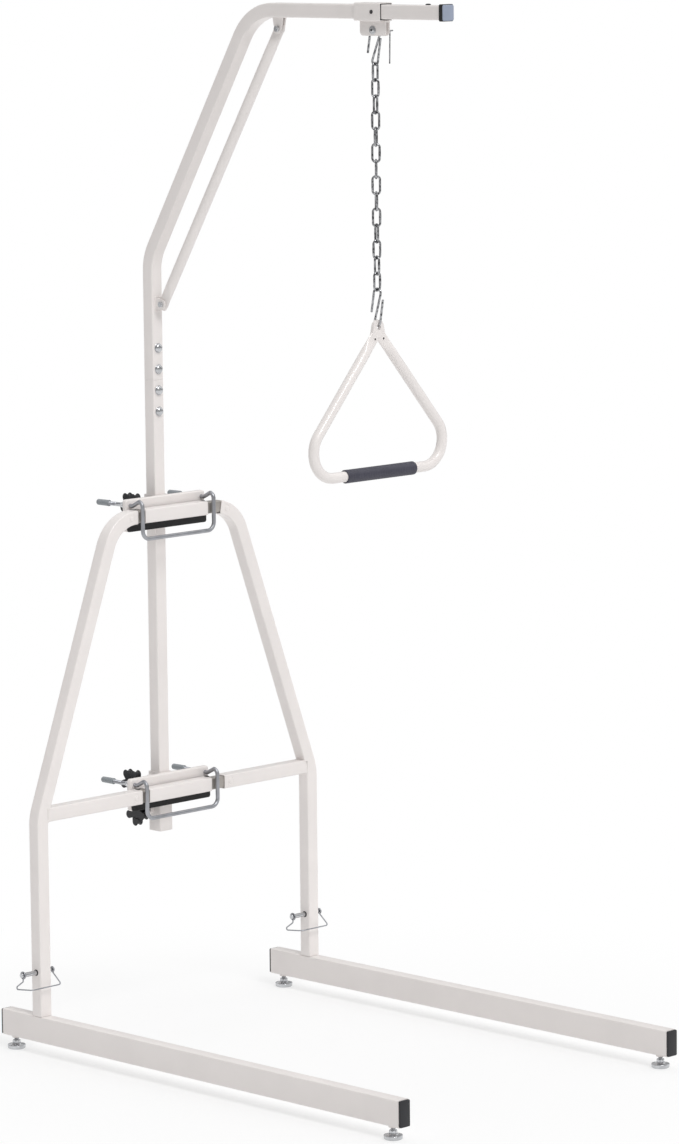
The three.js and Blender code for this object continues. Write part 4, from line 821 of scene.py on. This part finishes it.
class TRAPEZE_OT_clamps(bpy.types.Operator):
    """Clamp pads, brackets, bent rods, wing nuts and soft rod caps"""

    bl_idname = "trapeze.clamps"
    bl_label = "Clamps"

    def execute(self, context):
        for level, knobs in KNOBS.items():
            self.pad(level)
            self.bracket(context, level, knobs)
            self.rod(context, level)
            for side in SIDES:
                self.wing_nut(level, side)
                self.cap(level, side)
        return {"FINISHED"}

    def pad(self, level):
        """Plate between crossbar and bracket."""
        corner, rim = 0.0045, 0.0012
        node = f"clamp_pad_{level}"
        width, depth, height = span(node)
        place = middle(node)
        place[1] = low(node)[1]
        plate = slab(rounded_box(width, height, corner), 0, depth, rim, Y, place, Z)
        finished(node, [plate], "rubber", "root")

    def bracket(self, context, level, knobs):
        """Flat box, the mast's sleeve welded behind it, and a boss for each star knob."""
        forward, seam, seam_inset = 0.0003, 0.0016, 0.002
        clamps = context.scene.trapeze_clamps
        node, pad = f"clamp_bracket_{level}", f"clamp_pad_{level}"
        x, front, bar = middle(pad)[0], low(node)[1], BARS[level]
        web, half = front + clamps.depth, clamps.height / 2
        outline = rounded_box(span(pad)[0], clamps.height, clamps.corner)
        top = bar + half if level == "lower" else high(node)[2]
        run = straight((MAST_X, MAST_Y - forward, low(node)[2]), (MAST_X, MAST_Y - forward, top))
        parts = [slab(outline, 0, clamps.depth, clamps.edge, Y, (x, front, bar), Z, 5),
                 box_tube(clamps.sleeve, clamps.sleeve, sleeve_wall(context), SLEEVE_CORNER, *run, X)]
        for sign in SIDES.values():
            out = MAST_X + sign * (clamps.sleeve / 2 - seam_inset)
            ends = [(out, web, bar + end * (half - seam_inset)) for end in (-1, 1)]
            parts.append(wire(seam, *straight(*ends), X, BEAD))
        for knob in knobs:
            parts += self.boss(clamps, f"star_knob_{knob}")
        finished(node, parts, "enamel", "root")

    def boss(self, clamps, knob):
        """Boss on the sleeve's left face that a star knob's stud runs in, and its weld."""
        bore, weld_radius, seam = 0.0033, 0.0071, 0.0009
        place = (MAST_X - clamps.sleeve / 2, middle(knob)[1], low(knob)[2] + clamps.knob)
        profile = [(0.007, -0.0005), (0.007, 0.0062), (0.0064, 0.007)]
        return [pipe(profile, bore, place, -X),
                weld(laid_round(circle(weld_radius, SEAM), place, X, Z), seam)]

    def rod(self, context, level):
        """Bent rod: its stretch in front, two uprights, and two arms that step from the uprights' top to the
        height of their nuts and end in a thread."""
        behind_post, before_post, thread_depth = 0.0094, 0.0074, 0.0005
        bends = [0.008, 0.008, 0.01, 0.015]
        clamps = context.scene.trapeze_clamps
        node = f"clamp_rod_{level}"
        first, last = low(node), high(node)
        near, root = first[1] + clamps.rod, last[1] - clamps.thread_length
        bottom, top = first[2] + clamps.rod, last[2] - clamps.rod
        axis = middle(f"wing_nut_{level}_left")[2]
        arms, screws = [], []
        for sign in SIDES.values():
            x = middle(f"clamp_pad_{level}")[0] + sign * clamps.rod_spread
            arms.append([(x, root, axis), (x, POST_Y + behind_post, axis), (x, POST_Y - before_post, top),
                         (x, near, top), (x, near, bottom)])
            screws.append(threaded(clamps.rod, thread_depth, clamps.thread_pitch, 0, clamps.thread_length,
                                   (x, root, axis), Y))
        corners = arms[0] + arms[1][::-1]
        bent = wire(clamps.rod, *route(corners, bends + bends[::-1], 10), count=20)
        finished(node, [bent, *screws], "steel", f"rod_{level}")

    def wing_nut(self, level, side):
        """Conical hub and two blades that sweep back. Along a blade's run t, from 0 to 1, its middle lies
        at t^0.8 of its length outwards and at t^1.5 of its rise backwards, and its section is an ellipse
        that is slightly waisted and narrows to a round tip."""
        bore, blade_root, past_tip, blade_foot, rise = 0.0039, 0.0035, 0.0078, 0.005, 0.0118
        half_width, waist, half_thick, thinning = 0.0046, 0.15, 0.0019, 0.0006
        tip_length, tip_share = 0.0006, 0.45
        node = f"wing_nut_{level}_{side}"
        place = middle(node)
        place[1] = low(node)[1]
        parts = [pipe([(0.0062, 0), (0.0062, 0.0008), (0.0052, 0.0092), (0.0046, 0.0102)], bore, place, Y)]
        run = np.linspace(0, 1, 13)
        out = blade_root + (span(node)[0] / 2 - past_tip) * run ** 0.8
        back = blade_foot + rise * run ** 1.5
        narrowing = np.sqrt(1 - np.clip(run * 1.02 - 0.32, 0, 0.66) ** 2)
        wide = half_width * (1 - waist * np.sin(run * np.pi)) * narrowing
        sections = circle(1, 20) * np.stack([wide, half_thick - thinning * run], -1)[:, None]
        sections[-1] *= tip_share
        for sign in SIDES.values():
            points = place + out[:, None] * X * sign + back[:, None] * Y
            tangents = unit(np.gradient(points, axis=0))
            points[-1] += tangents[-1] * tip_length
            parts.append(shell(carry(sections, points, tangents, Z)))
        finished(node, parts, "zinc", f"nut_{level}_{side}")

    def cap(self, level, side):
        """Soft cap with a rolled rim and a domed end."""
        rim, rolled, slim, rise = 0.0006, 1.03, 0.97, 0.004
        node = f"rod_cap_{level}_{side}"
        radius, start, end = span(node)[0] / 2, low(node)[1], high(node)[1]
        foot = [(radius - rim, start), (radius, start + rim), (radius * rolled, start + 0.0014),
                (radius, start + 0.0024), (radius * slim, end - rise)]
        cap = turned(domed(radius * slim, rise, end - rise, foot), middle(node) * [1, 0, 1], Y, 32)
        finished(node, [cap], "vinyl", f"rod_{level}")


class TRAPEZE_OT_knobs(bpy.types.Operator):
    """Star knobs with their hubs and studs"""

    bl_idname = "trapeze.knobs"
    bl_label = "Star knobs"

    def execute(self, context):
        half, rim, stud_start = 0.006, 0.0024, 0.0148
        clamps = context.scene.trapeze_clamps
        for name in sum(KNOBS.values(), ()):
            node = f"star_knob_{name}"
            first, last = low(node), high(node)
            place = np.array([first[0] + half, middle(node)[1], first[2] + clamps.knob])
            star = slab(self.star(clamps), -half, half, rim, X, place, Z, 5)
            hub = turned([(0.0088, 0.004), (0.0086, 0.008), (0.0077, 0.0146), (0.007, 0.015)], place, X, 32)
            stud = threaded(*SCREW, stud_start, last[0] - place[0], place, X)
            finished(node, [star, hub, stud], "plastic", f"knob_{name}")
        return {"FINISHED"}

    def star(self, clamps):
        """Outline of straight lobes with round tips: at an angle a from its lobe's axis the outline lies
        d * cos(a) + sqrt(w^2 - d^2 * sin(a)^2) out on the tip and w / sin(a) out on the lobe's side, and
        nowhere nearer than the waist."""
        half = clamps.lobe_half
        tip = clamps.knob - half
        angle = np.linspace(0, 2 * np.pi, 240, endpoint=False)
        away = np.abs((angle + np.pi / clamps.lobes) % (2 * np.pi / clamps.lobes) - np.pi / clamps.lobes)
        side = half / np.maximum(np.sin(away), 1e-6)
        end = tip * np.cos(away) + np.sqrt(np.maximum(half ** 2 - (tip * np.sin(away)) ** 2, 0))
        reach = np.where(away < math.atan(half / tip), end, np.maximum(side, clamps.knob_waist))
        return np.stack([reach * np.sin(angle), -reach * np.cos(angle)], -1)[::-1]


class TRAPEZE_OT_mast(bpy.types.Operator):
    """Mast, splice bolts, bent arm, brace and end plug"""

    bl_idname = "trapeze.mast"
    bl_label = "Mast and arm"

    def execute(self, context):
        gap = 0.0003
        tubes = context.scene.trapeze_tubes
        node = "mast_lower_tube"
        foot, top = low(node)[2], high(node)[2]
        run = straight((MAST_X, MAST_Y, foot), (MAST_X, MAST_Y, top))
        finished(node, [square_tube(tubes, *run, X)], "enamel", "mast")
        self.splice(tubes, top + gap)
        self.arm(tubes, top + gap)
        self.brace()
        self.plug()
        return {"FINISHED"}

    def splice(self, tubes, seam):
        """Inner tube across the mast's seam, and four bolts: washer and domed head in front, nut behind."""
        bolt_pitch, bore = 0.039, 0.003
        node = "splice_tube"
        parts = [inner_tube(tubes, *[(MAST_X, MAST_Y, z) for z in (low(node)[2], high(node)[2])], X)]
        washer = [(0.0086, 0.0003), (0.0089, 0.0006), (0.0089, 0.0012), (0.0086, 0.0015)]
        head = domed(0.008, 0.005, 0.0017, [(0.0079, 0.0015)])
        for number in (-1.5, -0.5, 0.5, 1.5):
            height = seam + number * bolt_pitch
            front, back = ((MAST_X, MAST_Y + sign * tubes.side / 2, height) for sign in (-1, 1))
            parts += [pipe(washer, bore, front, -Y, SEAM), turned(head, front, -Y, SEAM),
                      nut(0.011, 0.0003, 0.0055, back, Y), threaded(*SCREW, 0.002, 0.0085, back, Y)]
        finished(node, parts, "zinc", "mast")

    def arm(self, tubes, seam):
        """Tube with two bends, the lugs of the brace, and the low screw head that stops the slider."""
        stop_radius, sunk = 0.0046, 0.0006
        node = "mast_upper_arm"
        end = low(node)[1]
        level = high(node)[2] - tubes.stop_rise - tubes.side / 2
        corners = [(MAST_X, MAST_Y, seam), (MAST_X, MAST_Y, seam + tubes.arm_bend_rise),
                   (MAST_X, MAST_Y - tubes.arm_shoulder, level), (MAST_X, end, level)]
        bent = route(corners, [tubes.arm_lower_radius, tubes.arm_upper_radius], 24)
        foot, head = self.brace_ends()
        parts = [square_tube(tubes, *bent, X), *self.lugs(foot, -Y, MAST_Y - tubes.side / 2 - foot[1]),
                 *self.lugs(head, -Z, level - tubes.side / 2 - head[2])]
        finished(node, parts, "enamel", "mast")
        half = tubes.stop_rise / 2
        profile = domed(stop_radius, half, half, [(stop_radius, -sunk), (stop_radius, half)])
        stop = turned(profile, (MAST_X, end + tubes.stop_inset, level + tubes.side / 2), Z)
        piece("arm_stop", [stop], "plastic", "mast")

    def lugs(self, bolt, outward, reach):
        """Two lugs with a round nose about a bolt, and the weld round their foot on the tube."""
        nose_radius, nose_share, half_foot, sunk = 0.009, 0.36, 0.013, 0.0006
        thickness, rim, weld_depth, seam = 0.0025, 0.0004, 0.01, 0.0011
        angle = np.linspace(-np.pi * nose_share, np.pi * nose_share, 13)
        nose = nose_radius * np.stack([np.sin(angle), np.cos(angle)], -1)
        foot = [(half_foot, -reach - sunk), (-half_foot, -reach - sunk)]
        outline = np.concatenate([nose, foot])[::-1]
        parts = [slab(outline, start, start + thickness, rim, X, bolt, outward, 2)
                 for start in (-2 * thickness, thickness)]
        around = rounded_box(2 * half_foot, weld_depth, rim)
        return [*parts, weld(laid_round(around, bolt - outward * reach, outward, X), seam)]

    def brace_ends(self):
        """Bolt places: the node's box ends at the flattened ends' rims, a little beyond the bolts."""
        past_bolt, beside_bolt = 0.011, 0.0066
        first, last = low("arm_brace"), high("arm_brace")
        _, run, rise = unit(span("arm_brace") * [0, 1, 1])
        rim = np.array([0, -past_bolt * run - beside_bolt * rise, past_bolt * rise + beside_bolt * run])
        foot = np.array([MAST_X, last[1], first[2]]) + rim
        head = np.array([MAST_X, first[1], last[2]]) - rim
        return foot, head

    def brace(self):
        """Round tube with flattened ends, and its two bolts. A row gives a distance from the nearer bolt,
        with half the width and half the thickness there."""
        rows = np.array([(-0.011, 0.003, 0.0018), (-0.0104, 0.0065, 0.0022), (-0.0085, 0.0095, 0.0022),
                         (-0.005, 0.0115, 0.0022), (0, 0.012, 0.0022), (0.011, 0.012, 0.0022),
                         (0.016, 0.01185, 0.003), (0.022, 0.0114, 0.0048), (0.028, 0.0107, 0.0066),
                         (0.034, 0.0101, 0.008), (0.04, 0.0097, 0.0091), (0.045, 0.0095, 0.0095)])
        foot, head = self.brace_ends()
        along = unit(head - foot)
        run = np.concatenate([rows[:, :1], np.linalg.norm(head - foot) - rows[::-1, :1]])
        halves = np.concatenate([rows[:, 1:], rows[::-1, 1:]])
        tangents = np.repeat(along[None], len(run), 0)
        tube = shell(carry(circle(1, SEAM) * halves[:, None], foot + run * along, tangents, X))
        finished("arm_brace", [tube], "enamel", "mast")
        head_profile = domed(0.0065, 0.0033, 0.0056, [(0.0063, 0.0053)])
        bolts = []
        for place in (foot, head):
            bolts += [turned(head_profile, place, X, 32), nut(0.01, 0.0053, 0.0101, place, -X),
                      threaded(*SCREW, 0.004, 0.0103, place, -X)]
        piece("brace_bolts", bolts, "zinc", "mast")

    def plug(self):
        """Face, ring and skirt of the plug in the arm's open end."""
        smaller, face_corner, face_depth, face_rim = 0.002, 0.0035, 0.0026, 0.0016
        skirt_side, skirt_corner, skirt_reach, skirt_end, skirt_rim = 0.0218, 0.001, 0.021, 0.001, 0.0005
        ring_corner, ring_start, face_lap, ring_rim = 0.003, 0.0003, 0.0024, 0.0008
        node = "arm_end_plug"
        side = span(node)[2]
        place = np.array([MAST_X, low("mast_upper_arm")[1], middle(node)[2]])
        length = place[1] - low(node)[1]
        outline = rounded_box(side - smaller, side - smaller, face_corner, 8)
        face = slab(outline, length - face_depth, length, face_rim, -Y, place, Z, 6)
        finished(node, [face], "blue_vinyl", "mast")
        outline = rounded_box(side, side, ring_corner)
        ring = slab(outline, ring_start, length - face_lap, ring_rim, -Y, place, Z)
        outline = rounded_box(skirt_side, skirt_side, skirt_corner)
        skirt = slab(outline, -skirt_reach, skirt_end, skirt_rim, -Y, place, Z)
        piece("arm_plug_ring", [ring, skirt], "rubber", "mast")


class TRAPEZE_OT_slider(bpy.types.Operator):
    """Sleeve that runs on the arm, its hanger and the hook's bolt"""

    bl_idname = "trapeze.slider"
    bl_label = "Slider"

    def execute(self, context):
        node = "chain_slider"
        half = context.scene.trapeze_clamps.sleeve / 2
        level, end = high(node)[2] - half, high(node)[1]
        start = end - context.scene.trapeze_chain.slider_length
        sleeve = self.sleeve(context, half, start, end, level)
        finished(node, [sleeve, *self.hanger(low(node), level - half)], "enamel", "slider")
        self.bolt()
        self.bent_wire()
        return {"FINISHED"}

    def sleeve(self, context, half, start, end, level):
        """Sleeve, a black lining as painted shade of the gap round the arm, and the set screw in its left
        face.
        """
        gap_shade_corner, gap_shade_lap, gap_shade_inset = 0.0015, 0.0006, 0.001
        screw_forward, bore = 0.0118, 0.0014
        thickness = context.scene.trapeze_chain.liner
        wall = sleeve_wall(context) - thickness
        inside = 2 * half - 2 * wall
        run = straight((MAST_X, start - gap_shade_lap, level), (MAST_X, end - gap_shade_inset, level))
        # black lining, a little out at the near end: painted shade of the gap between sleeve and arm
        liner = box_tube(inside, inside, thickness, gap_shade_corner, *run, X)
        piece("slider_liner", [liner], "plastic", "slider")
        screw = pipe([(0.0035, -0.0008), (0.0035, 0.001), (0.0031, 0.0014)], bore,
                     (MAST_X - half, (start + end) / 2 - screw_forward, level), -X)
        piece("slider_set_screw", [screw], "plastic", "slider")
        return box_tube(2 * half, 2 * half, wall, SLEEVE_CORNER,
                        *straight((MAST_X, start, level), (MAST_X, end, level)), X)

    def hanger(self, first, under):
        """Channel under the sleeve: two cheeks with rounded lower corners, the web between them, and the
        seams where they meet the sleeve."""
        length, corner, sunk = 0.063, 0.008, 0.0006
        thickness, rim, right_cheek, left_cheek = 0.0025, 0.0005, 0.003, -0.0055
        web_width, web_corner, web_rim = 0.007, 0.001, 0.0003
        seam, seam_out, seam_start, seam_inset, seam_drop = 0.0013, 0.0058, 0.0105, 0.004, 0.0002
        near, bottom = first[1:]
        far = near + length
        angle = np.linspace(0, np.pi / 2, 9)
        low_edge = bottom + corner - corner * np.sin(angle)
        left = np.stack([near + corner - corner * np.cos(angle), low_edge], -1)
        right = np.stack([far + near - left[::-1, 0], low_edge[::-1]], -1)
        outline = np.concatenate([[(near, under + sunk)], left, right, [(far, under + sunk)]])
        parts = [slab(outline, start, start + thickness, rim, X, (MAST_X, 0, 0), Z, 2)
                 for start in (left_cheek, right_cheek)]
        web, place = rounded_box(web_width, length, web_corner), (MAST_X, (near + far) / 2, 0)
        parts.append(slab(web, under - thickness, under + sunk, web_rim, Z, place, Y, 2))
        for sign in SIDES.values():
            x = MAST_X + sign * seam_out
            ends = [(x, y, under - seam_drop) for y in (near + seam_start, far - seam_inset)]
            parts.append(wire(seam, *straight(*ends), X, BEAD))
        return parts

    def bolt(self):
        """Pin through the hanger: washer and domed head on its left, nut on its right, and a black hexagon
        in the head, painted shade of its hexagonal socket."""
        reach, radius, washer, washer_edge = 0.0055, 0.003, 0.0011, 0.0004
        head = domed(0.0048, 0.0026, reach + washer, [(0.0047, reach)])
        parts = [turned([(radius, -reach), (radius, reach)], BOLT, X),
                 turned(edge_rounded(reach, reach + washer, 0.0078, washer_edge), BOLT, -X, SEAM),
                 turned(head, BOLT, -X, 32), nut(0.0101, reach, reach + 0.0034, BOLT, X)]
        finished("hanger_bolt", parts, "zinc", "slider")
        # black hexagon in the head: painted shade of its hexagonal socket
        socket_shade = turned([(0.0023, 0.002), (0.0022, reach + 0.0038)], BOLT, -X, 6)
        piece("hanger_bolt_recess", [socket_shade], "plastic", "slider")

    def bent_wire(self):
        """Thin stiff wire that leaves the hanger's far cheek near its front corner and hangs down."""
        gauge, bends = 0.00115, [0.0009, 0.0015]
        corners = [(0.004, -0.0285, -0.0005), (0.0115, -0.0335, -0.0005), (0.0115, -0.0254, -0.0015),
                   (0.0115, -0.0242, -0.058)]
        bent = wire(gauge, *route(np.array(corners) + BOLT, bends, 8), count=BEAD)
        piece("slider_wire", [bent], "links", "slider")


class TRAPEZE_OT_chain(bpy.types.Operator):
    """S-hooks and chain links"""

    bl_idname = "trapeze.chain"
    bl_label = "Chain"

    def execute(self, context):
        chain = context.scene.trapeze_chain
        self.hook(chain, "upper", chain.wide_bow)
        self.hook(chain, "lower", chain.middle_bow)
        step = math.pi / 2 * (1 + 1 / (chain.links + 1))
        for number in range(1, chain.links + 1):
            self.link(chain, number, step * number)
        return {"FINISHED"}

    def hook(self, chain, level, width):
        """S-hook in the YZ plane: two bows, the straight wire that touches both, and two free ends that
        leave their bows before they stand upright, each closed by a low dome."""
        end_rise = 0.0008
        node = f"hook_{level}"
        gauge = chain.wire / 2
        wide, narrow = width / 2 - gauge, chain.narrow_bow / 2 - gauge
        upper, lower = high(node)[2] - gauge - wide, low(node)[2] + gauge + narrow
        slant = math.asin((wide + narrow) / (upper - lower))
        share = np.linspace(0, 1, 28)[:, None]
        first = chain.flare + share * (math.pi + slant - chain.flare)
        second = slant - share * (math.pi + slant - chain.flare)
        bows = [upper * Z + wide * (np.cos(first) * Y + np.sin(first) * Z),
                lower * Z + narrow * (np.cos(second) * Y + np.sin(second) * Z)]
        runs = [np.cos(first) * Z - np.sin(first) * Y, np.sin(second) * Y - np.cos(second) * Z]
        points = np.concatenate([bows[0][:1] - chain.upper_tail * runs[0][:1], *bows,
                                 bows[1][-1:] + chain.lower_tail * runs[1][-1:]]) + BOLT * [1, 1, 0]
        tangents = np.concatenate([runs[0][:1], *runs, runs[1][-1:]])
        ends = [turned(dome(gauge, end_rise), points[index], sign * tangents[index])
                for index, sign in ((0, -1), (-1, 1))]
        parts = [wire(gauge, points, tangents, X), *ends]
        finished(node, parts, "links", f"{level}_hook")

    def link(self, chain, number, turn):
        """Link: a ring whose halves are drawn apart along Z, with a bead where its ends are welded."""
        steepness, bead_rise, bead_narrowness = 9, 0.16, 14
        node = f"chain_link_{number:02d}"
        gauge = chain.wire / 2
        bow = (chain.link_width - chain.wire) / 2
        half = span(node)[2] / 2 - gauge - bow
        angle = np.linspace(0, 2 * np.pi, 56, endpoint=False)[:, None]
        shift = half * np.clip(np.sin(angle) * steepness, -1, 1)
        wide = np.array([-math.sin(turn), math.cos(turn), 0])
        points = middle(node) + bow * np.cos(angle) * wide + (bow * np.sin(angle) + shift) * Z
        tangents = unit(np.roll(points, -1, 0) - np.roll(points, 1, 0))
        from_bead = (angle + np.pi) % (2 * np.pi) - np.pi
        swell = 1 + bead_rise * np.exp(-(from_bead * bead_narrowness) ** 2)
        grid = carry(swell[:, None] * circle(gauge, 20), points, tangents, np.cross(wide, Z))
        finished(node, [shell(grid, loop=True)], "links", f"link_{number:02d}")


class TRAPEZE_OT_handle(bpy.types.Operator):
    """Triangular handle with its riveted eye, and the moulded hand grip"""

    bl_idname = "trapeze.handle"
    bl_label = "Handle"

    def execute(self, context):
        chain = context.scene.trapeze_chain
        eye = np.array([*BOLT[:2], high("handle_tube")[2] - EYE_RADIUS])
        rivets, bore_shades = self.rivets(eye)
        finished("handle_tube", [self.tube(chain), self.tab(eye), *rivets], "enamel", "handle")
        # black discs in the rivet heads: painted shade in each rivet's bore
        piece("handle_rivet_bores", bore_shades, "plastic", "handle")
        self.grip(chain)
        return {"FINISHED"}

    def tube(self, chain):
        """Bent tube whose two ends are flattened: from the flat section to the round one its halves ease
        by 3 t^2 - 2 t^3."""
        below_hook, cut, flat_half_width = 0.01, 0.009, 0.011
        flat_length, ease_length, worked_length, stops = 0.012, 0.03, 0.046, 12
        x, y = BOLT[:2]
        slope, bar = chain.handle_slope, middle("hand_grip")[2]
        crossing = low("hook_lower")[2] + chain.wire / 2 - below_hook
        spread = (crossing - bar) * math.tan(slope)
        out, top = cut * math.sin(slope), crossing - cut * math.cos(slope)
        corners = [(x - out, y, top), (x - spread, y, bar), (x + spread, y, bar), (x + out, y, top)]
        points, tangents = route(corners, [chain.handle_corner] * 2, 24)
        gaps = np.linspace(0, worked_length, stops)[:, None]
        points = np.concatenate([points[0] + gaps * tangents[0], points[1:-1],
                                 points[-1] - gaps[::-1] * tangents[-1]])
        tangents = np.concatenate([np.repeat(tangents[:1], stops, 0), tangents[1:-1],
                                   np.repeat(tangents[-1:], stops, 0)])
        ease = np.clip((gaps - flat_length) / ease_length, 0, 1)
        flat = np.array([flat_half_width, TAB_HALF])
        halves = flat + (chain.handle_radius - flat) * ease * ease * (3 - 2 * ease)
        between = np.full((len(points) - 2 * stops, 2), chain.handle_radius)
        sections = circle(1, ROUND) * np.concatenate([halves, between, halves[::-1]])[:, None]
        return shell(carry(sections, points, tangents, Y))

    def rivets(self, eye):
        """Low rivet heads on both faces of the flattened top, and a black disc in each, painted shade of its
        bore.
        """
        out, drop, sunk, radius, rise = 0.0105, 0.0204, 0.0004, 0.0034, 0.001
        head = domed(radius, rise, 0, [(radius, -sunk)])
        # black disc on each rivet head: painted shade of the rivet's bore
        bore = [(0.0019, 0), (0.0018, 0.0011)]
        heads, bore_shades = [], []
        for sign in (-1, 1):
            for face in (-1, 1):
                spot = eye + [sign * out, face * TAB_HALF, -drop]
                heads.append(turned(head, spot, face * Y))
                bore_shades.append(turned(bore, spot, face * Y, 16))
        return heads, bore_shades

    def tab(self, eye):
        """Plate with a round hole, joined as one loop. Its outline is half a circle of radius r above, and
        below two sides that spread from r to the foot over the drop: in the direction (c, s) a side lies
        r / (|c| + (foot - r) * s / drop) out, and the lower edge -drop / s."""
        count, least = 72, 1e-6
        hole, foot, drop, rim, rim_share = 0.005, 0.0176, 0.019, 0.0006, 0.965
        angle = np.linspace(0, 2 * np.pi, count, endpoint=False)
        across, up = np.cos(angle), np.sin(angle)
        side = EYE_RADIUS / np.maximum(np.abs(across) + (foot - EYE_RADIUS) * up / drop, least)
        below = np.minimum(drop / np.maximum(-up, least), side)
        reach = np.where(up < 0, below, EYE_RADIUS)
        rows = [(hole, -TAB_HALF), (reach * rim_share, -TAB_HALF), (reach, rim - TAB_HALF)]
        rows += [(radius, -level) for radius, level in rows[::-1]]
        return shell(np.array([eye + (radius * across)[:, None] * X + level * Y + (radius * up)[:, None] * Z
                               for radius, level in rows]), loop=True)

    def grip(self, chain):
        """Sleeve about X: its radius carries shallow rounded ribs between two plain collars, and falls to
        its ends in quarter circles."""
        rib, pitch, collar, rim, play, stops = 0.00035, 0.0042, 0.009, 0.0015, 0.0002, 420
        node = "hand_grip"
        half = span(node)[0] / 2
        run = np.linspace(-half, half, stops)
        ribs = rib * (0.5 + 0.5 * np.cos(run * 2 * np.pi / pitch))
        into_rim = np.clip(np.abs(run) - (half - rim), 0, None) / rim
        fall = rim * (1 - np.sqrt(np.clip(1 - into_rim ** 2, 0, 1)))
        radius = chain.grip_radius - rib + np.where(np.abs(run) < half - collar, ribs, rib) - fall
        sleeve = pipe(np.stack([radius, run], -1), chain.handle_radius + play, middle(node), X, ROUND)
        finished(node, [sleeve], "grip", "handle")


class TRAPEZE_PT_panel(bpy.types.Panel):
    """Buttons for every group of pieces, and the sizes and colours that they take"""

    bl_idname = "TRAPEZE_PT_panel"
    bl_label = "Bed trapeze"
    bl_space_type = "VIEW_3D"
    bl_region_type = "UI"
    bl_category = "Bed trapeze"

    def draw(self, context):
        for operator in OPERATORS:
            self.layout.operator(operator.bl_idname)
        for name in SETTINGS:
            settings = getattr(context.scene, name)
            for key in settings.bl_rna.properties.keys():
                if key not in ("name", "rna_type"):
                    self.layout.prop(settings, key)


SETTINGS = {"trapeze_tubes": TrapezeTubes, "trapeze_clamps": TrapezeClamps, "trapeze_chain": TrapezeChain,
            "trapeze_colours": TrapezeColours}
OPERATORS = (TRAPEZE_OT_stage, TRAPEZE_OT_base, TRAPEZE_OT_side_frames, TRAPEZE_OT_clamps, TRAPEZE_OT_knobs,
             TRAPEZE_OT_mast, TRAPEZE_OT_slider, TRAPEZE_OT_chain, TRAPEZE_OT_handle)


def register():
    for item in (*SETTINGS.values(), *OPERATORS, TRAPEZE_PT_panel):
        bpy.utils.register_class(item)
    for name, group in SETTINGS.items():
        setattr(bpy.types.Scene, name, PointerProperty(type=group))


def unregister():
    for name in SETTINGS:
        delattr(bpy.types.Scene, name)
    for item in (*SETTINGS.values(), *OPERATORS, TRAPEZE_PT_panel):
        bpy.utils.unregister_class(item)


def main():
    register()
    for operator in OPERATORS:
        group, name = operator.bl_idname.split(".")
        getattr(getattr(bpy.ops, group), name)()


if __name__ == "__main__":
    main()
